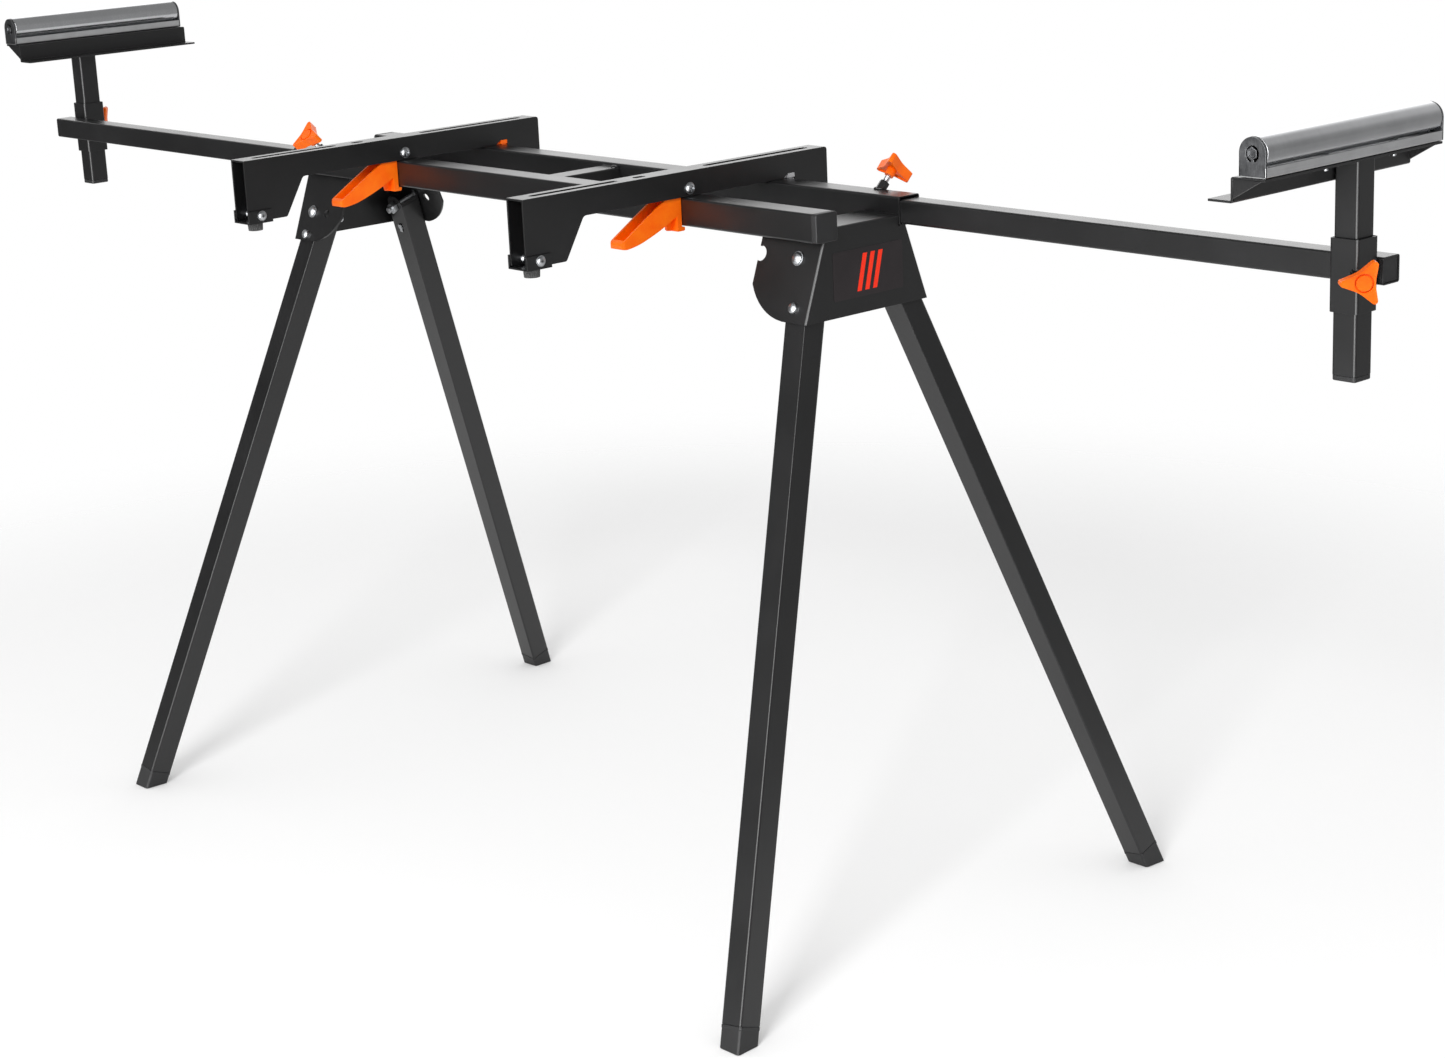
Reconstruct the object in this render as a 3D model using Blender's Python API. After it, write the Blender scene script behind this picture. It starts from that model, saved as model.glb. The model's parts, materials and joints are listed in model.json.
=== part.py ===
"""Folding miter saw stand with two sliding extension arms and height-adjustable rollers.

Metres, +Z up. The origin is on the floor under the middle of the frame. X runs along the rails
and +Y goes to the back. The right arm slides in the rear rail and the left arm in the front rail,
so everything on the arms is the same assembly turned half a turn about Z.
"""

import math

import bmesh
import bpy
from mathutils import Matrix, Vector

# Fits
GAP = 0.0003  # between faces that touch on the real stand
BOLT_PLAY = 0.0003  # radial play of a bolt in its hole

# Square tubes
TUBE_WALL = 0.0015
TUBE_ROUND = 0.002
RAIL_SIDE = 0.030
ARM_SIDE = 0.025
LEG_SIDE = 0.028

# Rails
RAIL_TOP = 0.785
RAIL_Y = 0.0625
RAIL_HALF = 0.4545
RAIL_CAP = 0.0065
BRACE_WIDTH = 0.030
BRACE_HEIGHT = 0.025
BRACE_DROP = 0.004

# Extension arms and roller posts
ARM_REACH = 0.5835  # from the rail's open end to the end of the arm
ARM_LENGTH = 0.850
ARM_PLUG = 0.004
SLEEVE_HEIGHT = 0.066
SLEEVE_DROP = 0.050  # from the rail's top to the sleeve's low end
SLEEVE_INSET = 0.020  # from the end of the arm to the middle of the sleeve
POST_LENGTH = 0.1968
POST_CAP = 0.005
RAISE_RIGHT = 0.049  # from the sleeve's top to the roller head's wall
RAISE_LEFT = 0.066

# Roller heads
HEAD_LENGTH = 0.257
HEAD_OFFSET = 0.0262  # middle of the head from the post, along the roller
HEAD_PLATE = 0.0022
HEAD_WALL = 0.0225
HEAD_TOP_WIDTH = 0.035
HEAD_FLANGE = 0.026
GUSSET_INSET = 0.004
GUSSET_FOOT = 0.004
TRAY_LENGTH = 0.257
TRAY_SHIFT = 0.001  # of the tray past the bracket, along the roller
TRAY_WIDTH = 0.0275
TRAY_PLATE = 0.0015
TRAY_WALL = 0.009
EAR_PLATE = 0.002
EAR_CENTRE = 0.0205
ROLLER_RADIUS = 0.014
ROLLER_WALL = 0.0015
ROLLER_SIDE_PLAY = 0.001
AXLE_FLATS = 0.010
AXLE_PROUD = 0.001
EAR_HOLE = 0.0065
EAR_HOLE_DROP = 0.0012

# Clamp knobs, all alike, each square to a tube's corner edge
KNOB_INSET_RIGHT = 0.0545  # from the rail's open end
KNOB_INSET_LEFT = 0.0645
KNOB_CORNER = 0.0260  # of the three corners before they are rounded
KNOB_CORNER_ROUND = 0.0028
KNOB_VALLEY = 0.0093
KNOB_VALLEY_ROUND = 0.030
KNOB_THICK = 0.011
KNOB_HUB_RADIUS = 0.006
KNOB_HUB = 0.006
KNOB_CAP_RADIUS = 0.0055
KNOB_STANDOFF = 0.0165
KNOB_RISE = 0.0015  # of the sleeve's knob above the sleeve's middle
SCREW_RADIUS = 0.003
BOSS_RADIUS = 0.0058
BOSS_HEIGHT = 0.008
BOSS_SINK = 0.004

# Leg brackets
SHEET = 0.0025
BRACKET_SETBACK = 0.0015  # of the outer plate from the rail's open end
BRACKET_DEPTH = 0.0885
BRACKET_DROP = 0.111  # from the rail's top to the bracket's low edge
BRACKET_HALF_TOP = 0.0596
BRACKET_TONGUE_DROP = 0.018
BRACKET_TOP_FLANGE = 0.050
BRACKET_ARC = 0.0655
FLANGE_TILT = math.radians(20.0)
NOTCH_RADIUS = 0.008
BEND_RADIUS = 0.003

# Legs
PIVOT_BACK_RIGHT = 0.031  # from the bracket's outer plate
PIVOT_BACK_LEFT = 0.028
PIVOT_DOWN_RIGHT = 0.0204  # from the flange's top edge, down its slope
LEG_NEST = 0.001  # space between a left leg and a right leg when both are folded
LEG_GAP = 0.0015
SPLAY_RIGHT = math.radians(9.8)
SPLAY_LEFT = math.radians(8.9)
LOCK_RIGHT = 0.051
LOCK_LEFT = 0.029
FOOT_SIDE = 0.0288
FOOT_HEIGHT = 0.021
FOOT_PLUG = 0.018
PIVOT_RADIUS = 0.004
PIVOT_HEAD_RADIUS = 0.008
PIVOT_HEAD = 0.0045
NUT_FLATS = 0.013
NUT_HEIGHT = 0.0065
LOCK_RADIUS = 0.0055
LOCK_PROUD = 0.0045
LOCK_SEAT = 0.0015

# Saw brackets
SAW_X = 0.250
SAW_WIDTH = 0.026
SAW_HEIGHT = 0.0267
SAW_SHEET = 0.002
SAW_FRONT = -0.289
SAW_BACK = 0.134
HOOK_DROP = 0.0425  # from the rail's top to the hook's low end
HOOK_BACK_LOW = -0.237
HOOK_BACK_TOP = -0.2115
TAIL_DROP = 0.024  # from the rail's top to the low end of the channel behind the rear rail
TAIL_PLAY = 0.0015  # between the rear rail's back and that end
SLOT_HALF_WIDTH = 0.004
SLOTS = ((-0.270, -0.155), (-0.133, -0.117), (-0.035, 0.116))
CLIP_LENGTH = 0.032
CLIP_HEIGHT = 0.0145
CLIP_BOLT_Y = -0.2726
CLIP_BOLT_DROP = 0.0364  # from the rail's top
CLIP_BOLT_RADIUS = 0.003
RUBBER_RADIUS = 0.0088
RUBBER_HEIGHT = 0.009

# Clamp levers and rear hooks
LEVER_WIDTH = 0.021
LEVER_WALL = 0.003
LEVER_PIVOT_Y = -0.0675
LEVER_PIVOT_RISE = 0.0087  # of the lever's bolt above the rail's top
LEVER_HUB = 0.008
LEVER_BOLT_RADIUS = 0.003
LEVER_BOLT_HEAD = 0.0055
LEVER_RIB = 0.006
LEVER_TOE = 0.004
LEVER_TOE_REACH = 0.0035
REAR_HOOK_ARM = 0.006

RAIL_BOTTOM = RAIL_TOP - RAIL_SIDE
RAIL_AXIS_Z = RAIL_TOP - RAIL_SIDE / 2
SLEEVE_LOW = RAIL_TOP - SLEEVE_DROP
BRACKET_LOW = RAIL_TOP - BRACKET_DROP
BRACKET_TONGUE_TOP = RAIL_TOP - BRACKET_TONGUE_DROP
HOOK_LOW = RAIL_TOP - HOOK_DROP
TAIL_LOW = RAIL_TOP - TAIL_DROP
CLIP_BOLT_Z = RAIL_TOP - CLIP_BOLT_DROP
LEVER_PIVOT_Z = RAIL_TOP + LEVER_PIVOT_RISE
RAIL_INNER = RAIL_SIDE - 2 * TUBE_WALL
ARM_INNER = ARM_SIDE - 2 * TUBE_WALL
SEAT_SHIFT = (RAIL_INNER - ARM_SIDE) / 2 - GAP  # the clamp screw pushes the inner tube aside
ARM_Y = RAIL_Y - SEAT_SHIFT
ARM_Z = RAIL_AXIS_Z - SEAT_SHIFT
ARM_END_X = RAIL_HALF + ARM_REACH
POST_X = ARM_END_X - SLEEVE_INSET
KNOB_X_RIGHT = RAIL_HALF - KNOB_INSET_RIGHT
KNOB_X_LEFT = RAIL_HALF - KNOB_INSET_LEFT
SLEEVE_Y = ARM_Y - ARM_SIDE / 2 - GAP - RAIL_SIDE / 2
POST_AXIS_X = POST_X - SEAT_SHIFT
POST_AXIS_Y = SLEEVE_Y + SEAT_SHIFT
KNOB_SLEEVE_Z = SLEEVE_LOW + SLEEVE_HEIGHT / 2 + KNOB_RISE
POST_LOW = SLEEVE_LOW + SLEEVE_HEIGHT + HEAD_WALL - HEAD_PLATE - GAP - POST_LENGTH  # at no raise
BRACKET_TOP = RAIL_BOTTOM - GAP
BRACKET_FACE_X = RAIL_HALF - BRACKET_SETBACK
PIVOT_X_RIGHT = BRACKET_FACE_X - PIVOT_BACK_RIGHT
PIVOT_X_LEFT = BRACKET_FACE_X - PIVOT_BACK_LEFT
PIVOT_DOWN_LEFT = PIVOT_DOWN_RIGHT + LEG_SIDE + LEG_NEST
FLANGE_INNER = LEG_SIDE / 2 + LEG_GAP
FLANGE_OUTER = FLANGE_INNER + SHEET
SAW_TOP = RAIL_TOP + GAP + SAW_HEIGHT
SAW_INNER = SAW_WIDTH - 2 * SAW_SHEET


def clear_scene():
    for obj in list(bpy.data.objects):
        bpy.data.objects.remove(obj, do_unlink=True)


def material(name, colour, roughness, metallic=0.0):
    """A Principled material in the part's own colour."""
    mat = bpy.data.materials.new(name)
    mat.use_nodes = True
    shader = mat.node_tree.nodes["Principled BSDF"]
    shader.inputs["Base Color"].default_value = (*colour, 1.0)
    shader.inputs["Roughness"].default_value = roughness
    shader.inputs["Metallic"].default_value = metallic
    mat.diffuse_color = (*colour, 1.0)
    return mat


def frame(name, matrix=None, parent=None):
    """An empty that carries pieces; a joint's axis goes through it."""
    obj = bpy.data.objects.new(name, None)
    obj.empty_display_size = 0.03
    bpy.context.scene.collection.objects.link(obj)
    obj.parent = parent
    obj.matrix_basis = matrix or Matrix.Identity(4)
    return obj


def solid(name, bm):
    """A mesh object made from bm, with its faces turned outwards."""
    bmesh.ops.recalc_face_normals(bm, faces=bm.faces[:])
    mesh = bpy.data.meshes.new(name)
    bm.to_mesh(mesh)
    bm.free()
    obj = bpy.data.objects.new(name, mesh)
    bpy.context.scene.collection.objects.link(obj)
    return obj


def combine(obj, others, operation):
    """Joins other solids to obj, or cuts them out of it, and removes them."""
    for index, other in enumerate(others):
        other.hide_render = True
        other.display_type = "WIRE"
        modifier = obj.modifiers.new(f"{operation.lower()}_{index}", "BOOLEAN")
        modifier.operation = operation
        modifier.solver = "EXACT"
        modifier.object = other
    bpy.context.view_layer.update()
    graph = bpy.context.evaluated_depsgraph_get()
    made = bpy.data.meshes.new_from_object(obj.evaluated_get(graph))
    obj.modifiers.clear()
    before = obj.data
    obj.data = made
    made.name = obj.name
    bpy.data.meshes.remove(before)
    for other in others:
        bpy.data.objects.remove(other, do_unlink=True)
    return obj


def join(obj, *others):
    return combine(obj, others, "UNION")


def cut(obj, *others):
    return combine(obj, others, "DIFFERENCE")


def finish(obj, mat, parent, matrix=None, smooth=False):
    """Gives the piece its material and hangs it on its frame."""
    obj.data.materials.clear()
    obj.data.materials.append(mat)
    if smooth:
        obj.data.shade_smooth()
        obj.data.set_sharp_from_angle(angle=math.radians(35))
    obj.parent = parent
    obj.matrix_basis = matrix or Matrix.Identity(4)
    return obj


def extruded(outline, low, high):
    """A bmesh prism: the outline, in X and Y, from Z low to Z high."""
    bm = bmesh.new()
    face = bm.faces.new([bm.verts.new((x, y, low)) for x, y in outline])
    made = bmesh.ops.extrude_face_region(bm, geom=[face], use_keep_orig=True)
    moved = [item for item in made["geom"] if isinstance(item, bmesh.types.BMVert)]
    bmesh.ops.translate(bm, verts=moved, vec=(0.0, 0.0, high - low))
    return bm


def along_x(bm):
    """Turns a prism so that its outline is in Y and Z and its length runs along X."""
    turn = Matrix(((0, 0, 1), (1, 0, 0), (0, 1, 0)))
    bmesh.ops.transform(bm, matrix=turn.to_4x4(), verts=bm.verts[:])
    return bm


def along_y(bm):
    """Turns a prism so that its outline is in X and Z and its length runs along Y."""
    turn = Matrix(((1, 0, 0), (0, 0, 1), (0, 1, 0)))
    bmesh.ops.transform(bm, matrix=turn.to_4x4(), verts=bm.verts[:])
    return bm


def moved(bm, x=0.0, y=0.0, z=0.0):
    bmesh.ops.translate(bm, verts=bm.verts[:], vec=(x, y, z))
    return bm


def box(x_range, y_range, z_range):
    """A bmesh box from three (low, high) pairs."""
    bm = bmesh.new()
    bmesh.ops.create_cube(bm, size=1.0)
    size = [high - low for low, high in (x_range, y_range, z_range)]
    bmesh.ops.scale(bm, verts=bm.verts[:], vec=size)
    middle = [(high + low) / 2 for low, high in (x_range, y_range, z_range)]
    bmesh.ops.translate(bm, verts=bm.verts[:], vec=middle)
    return bm


def square(side, rounding=0.0, steps=2):
    """Outline of a square with rounded corners, about the origin."""
    half = side / 2
    corners = ((half, -half), (half, half), (-half, half), (-half, -half))
    return rounded([(x, y, rounding) for x, y in corners], steps)


def rounded(corners, steps=3):
    """Outline whose corners, each (x, y, radius), are turned into arcs."""
    points = []
    count = len(corners)
    for index, (x, y, radius) in enumerate(corners):
        here = Vector((x, y))
        if radius <= 0.0:
            points.append(here)
            continue
        before = (Vector(corners[index - 1][:2]) - here).normalized()
        after = (Vector(corners[(index + 1) % count][:2]) - here).normalized()
        half = before.angle(after) / 2
        reach = radius / math.tan(half)
        centre = here + (before + after).normalized() * (radius / math.sin(half))
        start = here + before * reach - centre
        end = here + after * reach - centre
        turn = start.angle_signed(end)
        for step in range(steps + 1):
            spun = start.copy()
            spun.rotate(Matrix.Rotation(-turn * step / steps, 2))
            points.append(centre + spun)
    return [tuple(point) for point in points]


def circle(radius, sides, x=0.0, y=0.0, phase=0.0):
    step = math.tau / sides
    return [
        (x + radius * math.cos(phase + step * i), y + radius * math.sin(phase + step * i))
        for i in range(sides)
    ]


def hexagon(flats):
    return circle(flats / math.sqrt(3.0), 6)


def slot(half_width, start, end, steps=4):
    """Outline of a round-ended slot along the second axis."""
    points = []
    for centre, first in ((end, 0.0), (start, math.pi)):
        for step in range(steps + 1):
            angle = first + math.pi * step / steps
            points.append((half_width * math.cos(angle), centre + half_width * math.sin(angle)))
    return points


def square_tube(side, wall, low, high, steps=2):
    """A bmesh square tube along Z, open at both ends."""
    bm = bmesh.new()
    edges = []
    for width, rounding in ((side, TUBE_ROUND), (side - 2 * wall, TUBE_ROUND - wall / 2)):
        loop = [bm.verts.new((x, y, low)) for x, y in square(width, rounding, steps)]
        edges += [bm.edges.new((loop[i - 1], loop[i])) for i in range(len(loop))]
    faces = bmesh.ops.bridge_loops(bm, edges=edges)["faces"]
    made = bmesh.ops.extrude_face_region(bm, geom=faces, use_keep_orig=True)
    lifted = [item for item in made["geom"] if isinstance(item, bmesh.types.BMVert)]
    bmesh.ops.translate(bm, verts=lifted, vec=(0.0, 0.0, high - low))
    return bm


def turned(profile, sides):
    """A bmesh round piece about Z from (radius, z) points that start and end on the axis."""
    bm = bmesh.new()
    points = [bm.verts.new((radius, 0.0, z)) for radius, z in profile]
    edges = [bm.edges.new(pair) for pair in zip(points, points[1:])]
    bmesh.ops.spin(
        bm, geom=points + edges, cent=(0, 0, 0), axis=(0, 0, 1),
        angle=math.tau, steps=sides, use_merge=True,
    )
    bmesh.ops.remove_doubles(bm, verts=bm.verts[:], dist=1e-6)
    return bm


def rod(radius, low, high, sides=16):
    return turned([(0.0, low), (radius, low), (radius, high), (0.0, high)], sides)


def dome(radius, height, base, steps=4):
    """Profile points of a domed head that stands on z = base, edge first."""
    points = []
    for step in range(steps + 1):
        angle = math.pi / 2 * step / steps
        points.append((radius * math.cos(angle), base + height * math.sin(angle)))
    return [(0.0 if r < 1e-9 else r, z) for r, z in points]


def turn_to(direction):
    """Matrix that turns +Z to the given direction."""
    return Vector(direction).to_track_quat("Z", "Y").to_matrix().to_4x4()


def plug_cap(name, side, wall, flange, plug):
    """A tube's end cap: a flange outside, from z = 0 to flange, and a plug inside, below z = 0."""
    cap = solid(name, extruded(square(side, TUBE_ROUND + 0.0005, 3), GAP, flange))
    inner = side - 2 * wall - 2 * GAP
    stub = solid(name + "_plug", extruded(square(inner, TUBE_ROUND, 2), -plug, flange / 2))
    soften = cap.modifiers.new("edge", "BEVEL")
    soften.width = 0.0012
    soften.segments = 2
    soften.limit_method = "ANGLE"
    soften.angle_limit = math.radians(50)
    return join(cap, stub)


def knob_outline(phase):
    """Outline of a triangle with round corners and hollow sides; one corner is at the phase."""
    corners = []
    for index in range(6):
        angle = phase + math.tau * index / 6
        reach, rounding = ((KNOB_VALLEY, KNOB_VALLEY_ROUND) if index % 2 else
                           (KNOB_CORNER, KNOB_CORNER_ROUND))
        corners.append((reach * math.cos(angle), reach * math.sin(angle), rounding))
    return rounded(corners, 5)


def make_knob(label, parent, orange, zinc, depth, phase=0.0):
    """Knob and its screw. The frame's origin is the tube's corner edge and its +Z is the axis.

    depth is how far below the corner edge the screw's end reaches."""
    low = KNOB_STANDOFF + KNOB_HUB
    head = solid(f"{label}_knob", extruded(knob_outline(phase), low, low + KNOB_THICK))
    soften = head.modifiers.new("edge", "BEVEL")
    soften.width = 0.0016
    soften.segments = 2
    soften.limit_method = "ANGLE"
    soften.angle_limit = math.radians(60)
    hub = solid("hub", turned(
        [(0.0, KNOB_STANDOFF), (KNOB_HUB_RADIUS * 0.85, KNOB_STANDOFF),
         (KNOB_HUB_RADIUS, low - 0.002), (KNOB_HUB_RADIUS, low + 0.004), (0.0, low + 0.004)], 20))
    top = low + KNOB_THICK
    button = solid("button", turned(
        [(0.0, top - 0.003), (KNOB_CAP_RADIUS, top - 0.003)]
        + dome(KNOB_CAP_RADIUS, 0.0012, top, 2), 20))
    join(head, hub, button)
    bore_top = low + KNOB_THICK / 2
    cut(head, solid("bore", rod(SCREW_RADIUS + BOLT_PLAY, KNOB_STANDOFF - 0.01, bore_top)))
    finish(head, orange, parent, smooth=True)
    screw = solid(f"{label}_knob_screw", rod(SCREW_RADIUS, -depth, bore_top - GAP, 16))
    finish(screw, zinc, parent, smooth=True)


def corner_boss():
    """Welded nut on a tube's corner edge, and the hole through it, both about +Z."""
    boss = solid("boss", extruded(circle(BOSS_RADIUS, 6), -BOSS_SINK, BOSS_HEIGHT))
    hole = solid("hole", rod(SCREW_RADIUS + BOLT_PLAY, -0.008, BOSS_HEIGHT + 0.01, 16))
    return boss, hole


def make_rail(name, knob_x, mat, parent):
    """Rail along X with its knob's boss near the open, +X, end, on the +Y top corner."""
    rail = solid(name, along_x(square_tube(RAIL_SIDE, TUBE_WALL, -RAIL_HALF, RAIL_HALF)))
    boss, hole = corner_boss()
    half = RAIL_SIDE / 2
    corner = Matrix.Translation((knob_x, half, half)) @ turn_to((0, 1, 1))
    boss.matrix_basis = corner
    hole.matrix_basis = corner
    join(rail, boss)
    cut(rail, hole)
    return finish(rail, mat, parent)


def make_arm(label, parent, black):
    """Arm tube and its welded sleeve, in the frame of the arm's own axis at x = 0."""
    tube = solid(f"{label}_extension_arm", along_x(
        square_tube(ARM_SIDE, TUBE_WALL, ARM_END_X - ARM_LENGTH, ARM_END_X)))
    plug = solid("plug", along_x(moved(
        extruded(square(ARM_SIDE - TUBE_WALL, 0.001), ARM_END_X - ARM_PLUG, ARM_END_X - 0.0008))))
    join(tube, plug)
    finish(tube, black, parent)

    half = RAIL_SIDE / 2
    sleeve = solid(f"{label}_post_sleeve", moved(
        square_tube(RAIL_SIDE, TUBE_WALL, SLEEVE_LOW - ARM_Z, SLEEVE_LOW - ARM_Z + SLEEVE_HEIGHT),
        POST_X, SLEEVE_Y - ARM_Y))
    boss, hole = corner_boss()
    corner = Matrix.Translation(
        (POST_X + half, SLEEVE_Y - ARM_Y - half, KNOB_SLEEVE_Z - ARM_Z)) @ turn_to((1, -1, 0))
    boss.matrix_basis = corner
    hole.matrix_basis = corner
    join(sleeve, boss)
    cut(sleeve, hole)
    finish(sleeve, black, parent)


def make_post(label, parent, black, plastic, grey, zinc):
    """Roller post and its head. The frame is on the post's axis, at its lower end."""
    post = solid(f"{label}_roller_post", square_tube(ARM_SIDE, TUBE_WALL, POST_CAP, POST_LENGTH))
    finish(post, black, parent)
    cap = plug_cap(f"{label}_post_cap", ARM_SIDE, TUBE_WALL, POST_CAP, 0.014)
    flip = Matrix.Translation((0, 0, POST_CAP)) @ Matrix.Rotation(math.pi, 4, "X")
    finish(cap, plastic, parent, flip)

    inner = ARM_SIDE / 2 + GAP
    back = -inner - HEAD_PLATE
    front = back + HEAD_TOP_WIDTH
    low = POST_LENGTH + GAP
    top = low + HEAD_PLATE
    bottom = top - HEAD_WALL
    start, end = -HEAD_OFFSET - HEAD_LENGTH / 2, -HEAD_OFFSET + HEAD_LENGTH / 2
    profile = [(back + HEAD_PLATE - HEAD_FLANGE, bottom), (-inner, bottom),
               (-inner, bottom + GUSSET_FOOT), (front - GUSSET_INSET, low), (front, low),
               (front, top), (back, top), (back, bottom + HEAD_PLATE),
               (back + HEAD_PLATE - HEAD_FLANGE, bottom + HEAD_PLATE)]
    bracket = solid(f"{label}_head_bracket", along_y(extruded(profile, start, end)))
    between = [(-inner, low), (-inner, bottom - 0.01), (front + 0.01, bottom - 0.01),
               (front + 0.01, low)]
    cut(bracket, solid("between_gussets", along_y(
        extruded(between, start + HEAD_PLATE, end - HEAD_PLATE))))
    finish(bracket, black, parent)

    half = TRAY_WIDTH / 2
    centre = front - half
    middle = TRAY_SHIFT - HEAD_OFFSET
    floor = top + GAP
    first, last = middle - TRAY_LENGTH / 2, middle + TRAY_LENGTH / 2
    tray = solid(f"{label}_roller_tray", box(
        (centre - half, centre + half), (first, last), (floor, floor + TRAY_WALL)))
    cut(tray, solid("inside", box(
        (centre - half + TRAY_PLATE, centre + half - TRAY_PLATE),
        (first + EAR_PLATE, last - EAR_PLATE), (floor + TRAY_PLATE, floor + 0.02))))
    arch = [(half * math.cos(a), EAR_CENTRE + half * math.sin(a))
            for a in (math.pi * i / 12 for i in range(13))]
    ear = [(half, 0.0)] + arch + [(-half, 0.0)]
    hole = slot(EAR_HOLE, EAR_CENTRE - EAR_HOLE_DROP, EAR_CENTRE, 6)
    ears = [solid("ear", moved(along_y(extruded(ear, 0, EAR_PLATE)), centre, y, floor))
            for y in (first, last - EAR_PLATE)]
    join(tray, *ears)
    cut(tray, solid("holes", moved(
        along_y(extruded(hole, first - 0.01, last + 0.01)), centre, 0, floor)))
    finish(tray, grey, parent)

    axis = floor + EAR_CENTRE
    axle = solid(f"{label}_roller_axle", moved(along_y(extruded(
        circle(AXLE_FLATS / math.sqrt(3.0), 6, phase=math.pi / 6),
        first - AXLE_PROUD, last + AXLE_PROUD)), centre, 0, axis))
    finish(axle, zinc, parent)
    return Vector((centre, middle, axis))


def make_roller(label, parent, steel):
    """Roller about Y: a tube with a bearing disc in each end."""
    half = TRAY_LENGTH / 2 - EAR_PLATE - ROLLER_SIDE_PLAY
    bore = AXLE_FLATS / math.sqrt(3.0) + BOLT_PLAY
    inner = ROLLER_RADIUS - ROLLER_WALL
    disc = 0.008
    bm = turned([
        (bore, -half), (ROLLER_RADIUS - 0.0008, -half), (ROLLER_RADIUS, -half + 0.0008),
        (ROLLER_RADIUS, half - 0.0008), (ROLLER_RADIUS - 0.0008, half), (bore, half),
        (bore, half - disc), (inner, half - disc), (inner, -half + disc), (bore, -half + disc),
        (bore, -half)], 32)
    bmesh.ops.rotate(bm, verts=bm.verts[:], matrix=Matrix.Rotation(math.pi / 2, 3, "X"))
    finish(solid(f"{label}_roller", bm), steel, parent, smooth=True)


def hinge_matrix(side_x, side_y, pivot_x, pivot_down):
    """Frame of a leg's hinge, on the leg's centre plane: X outwards, Z up the flange's slope,
    and Y along the bolt."""
    sin, cos = math.sin(FLANGE_TILT), math.cos(FLANGE_TILT)
    x_axis = Vector((side_x, 0, 0))
    z_axis = Vector((0, -side_y * sin, cos))
    y_axis = z_axis.cross(x_axis)
    outward = Vector((0, side_y * cos, sin))
    face = Vector((side_x * pivot_x, side_y * BRACKET_HALF_TOP, BRACKET_TOP)) - z_axis * pivot_down
    centre = face - outward * FLANGE_OUTER
    turn = Matrix((x_axis, y_axis, z_axis)).transposed().to_4x4()
    return Matrix.Translation(centre) @ turn, (1 if side_x * side_y > 0 else -1)


def flange_frame(side_y):
    """Frame in a side flange's outer face, at x = 0 on its top edge: X outwards along the rails,
    Z up the slope and Y square to the face."""
    sin, cos = math.sin(FLANGE_TILT), math.cos(FLANGE_TILT)
    x_axis = Vector((1, 0, 0))
    z_axis = Vector((0, -side_y * sin, cos))
    turn = Matrix((x_axis, z_axis.cross(x_axis), z_axis)).transposed().to_4x4()
    return Matrix.Translation((0, side_y * BRACKET_HALF_TOP, BRACKET_TOP)) @ turn


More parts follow.
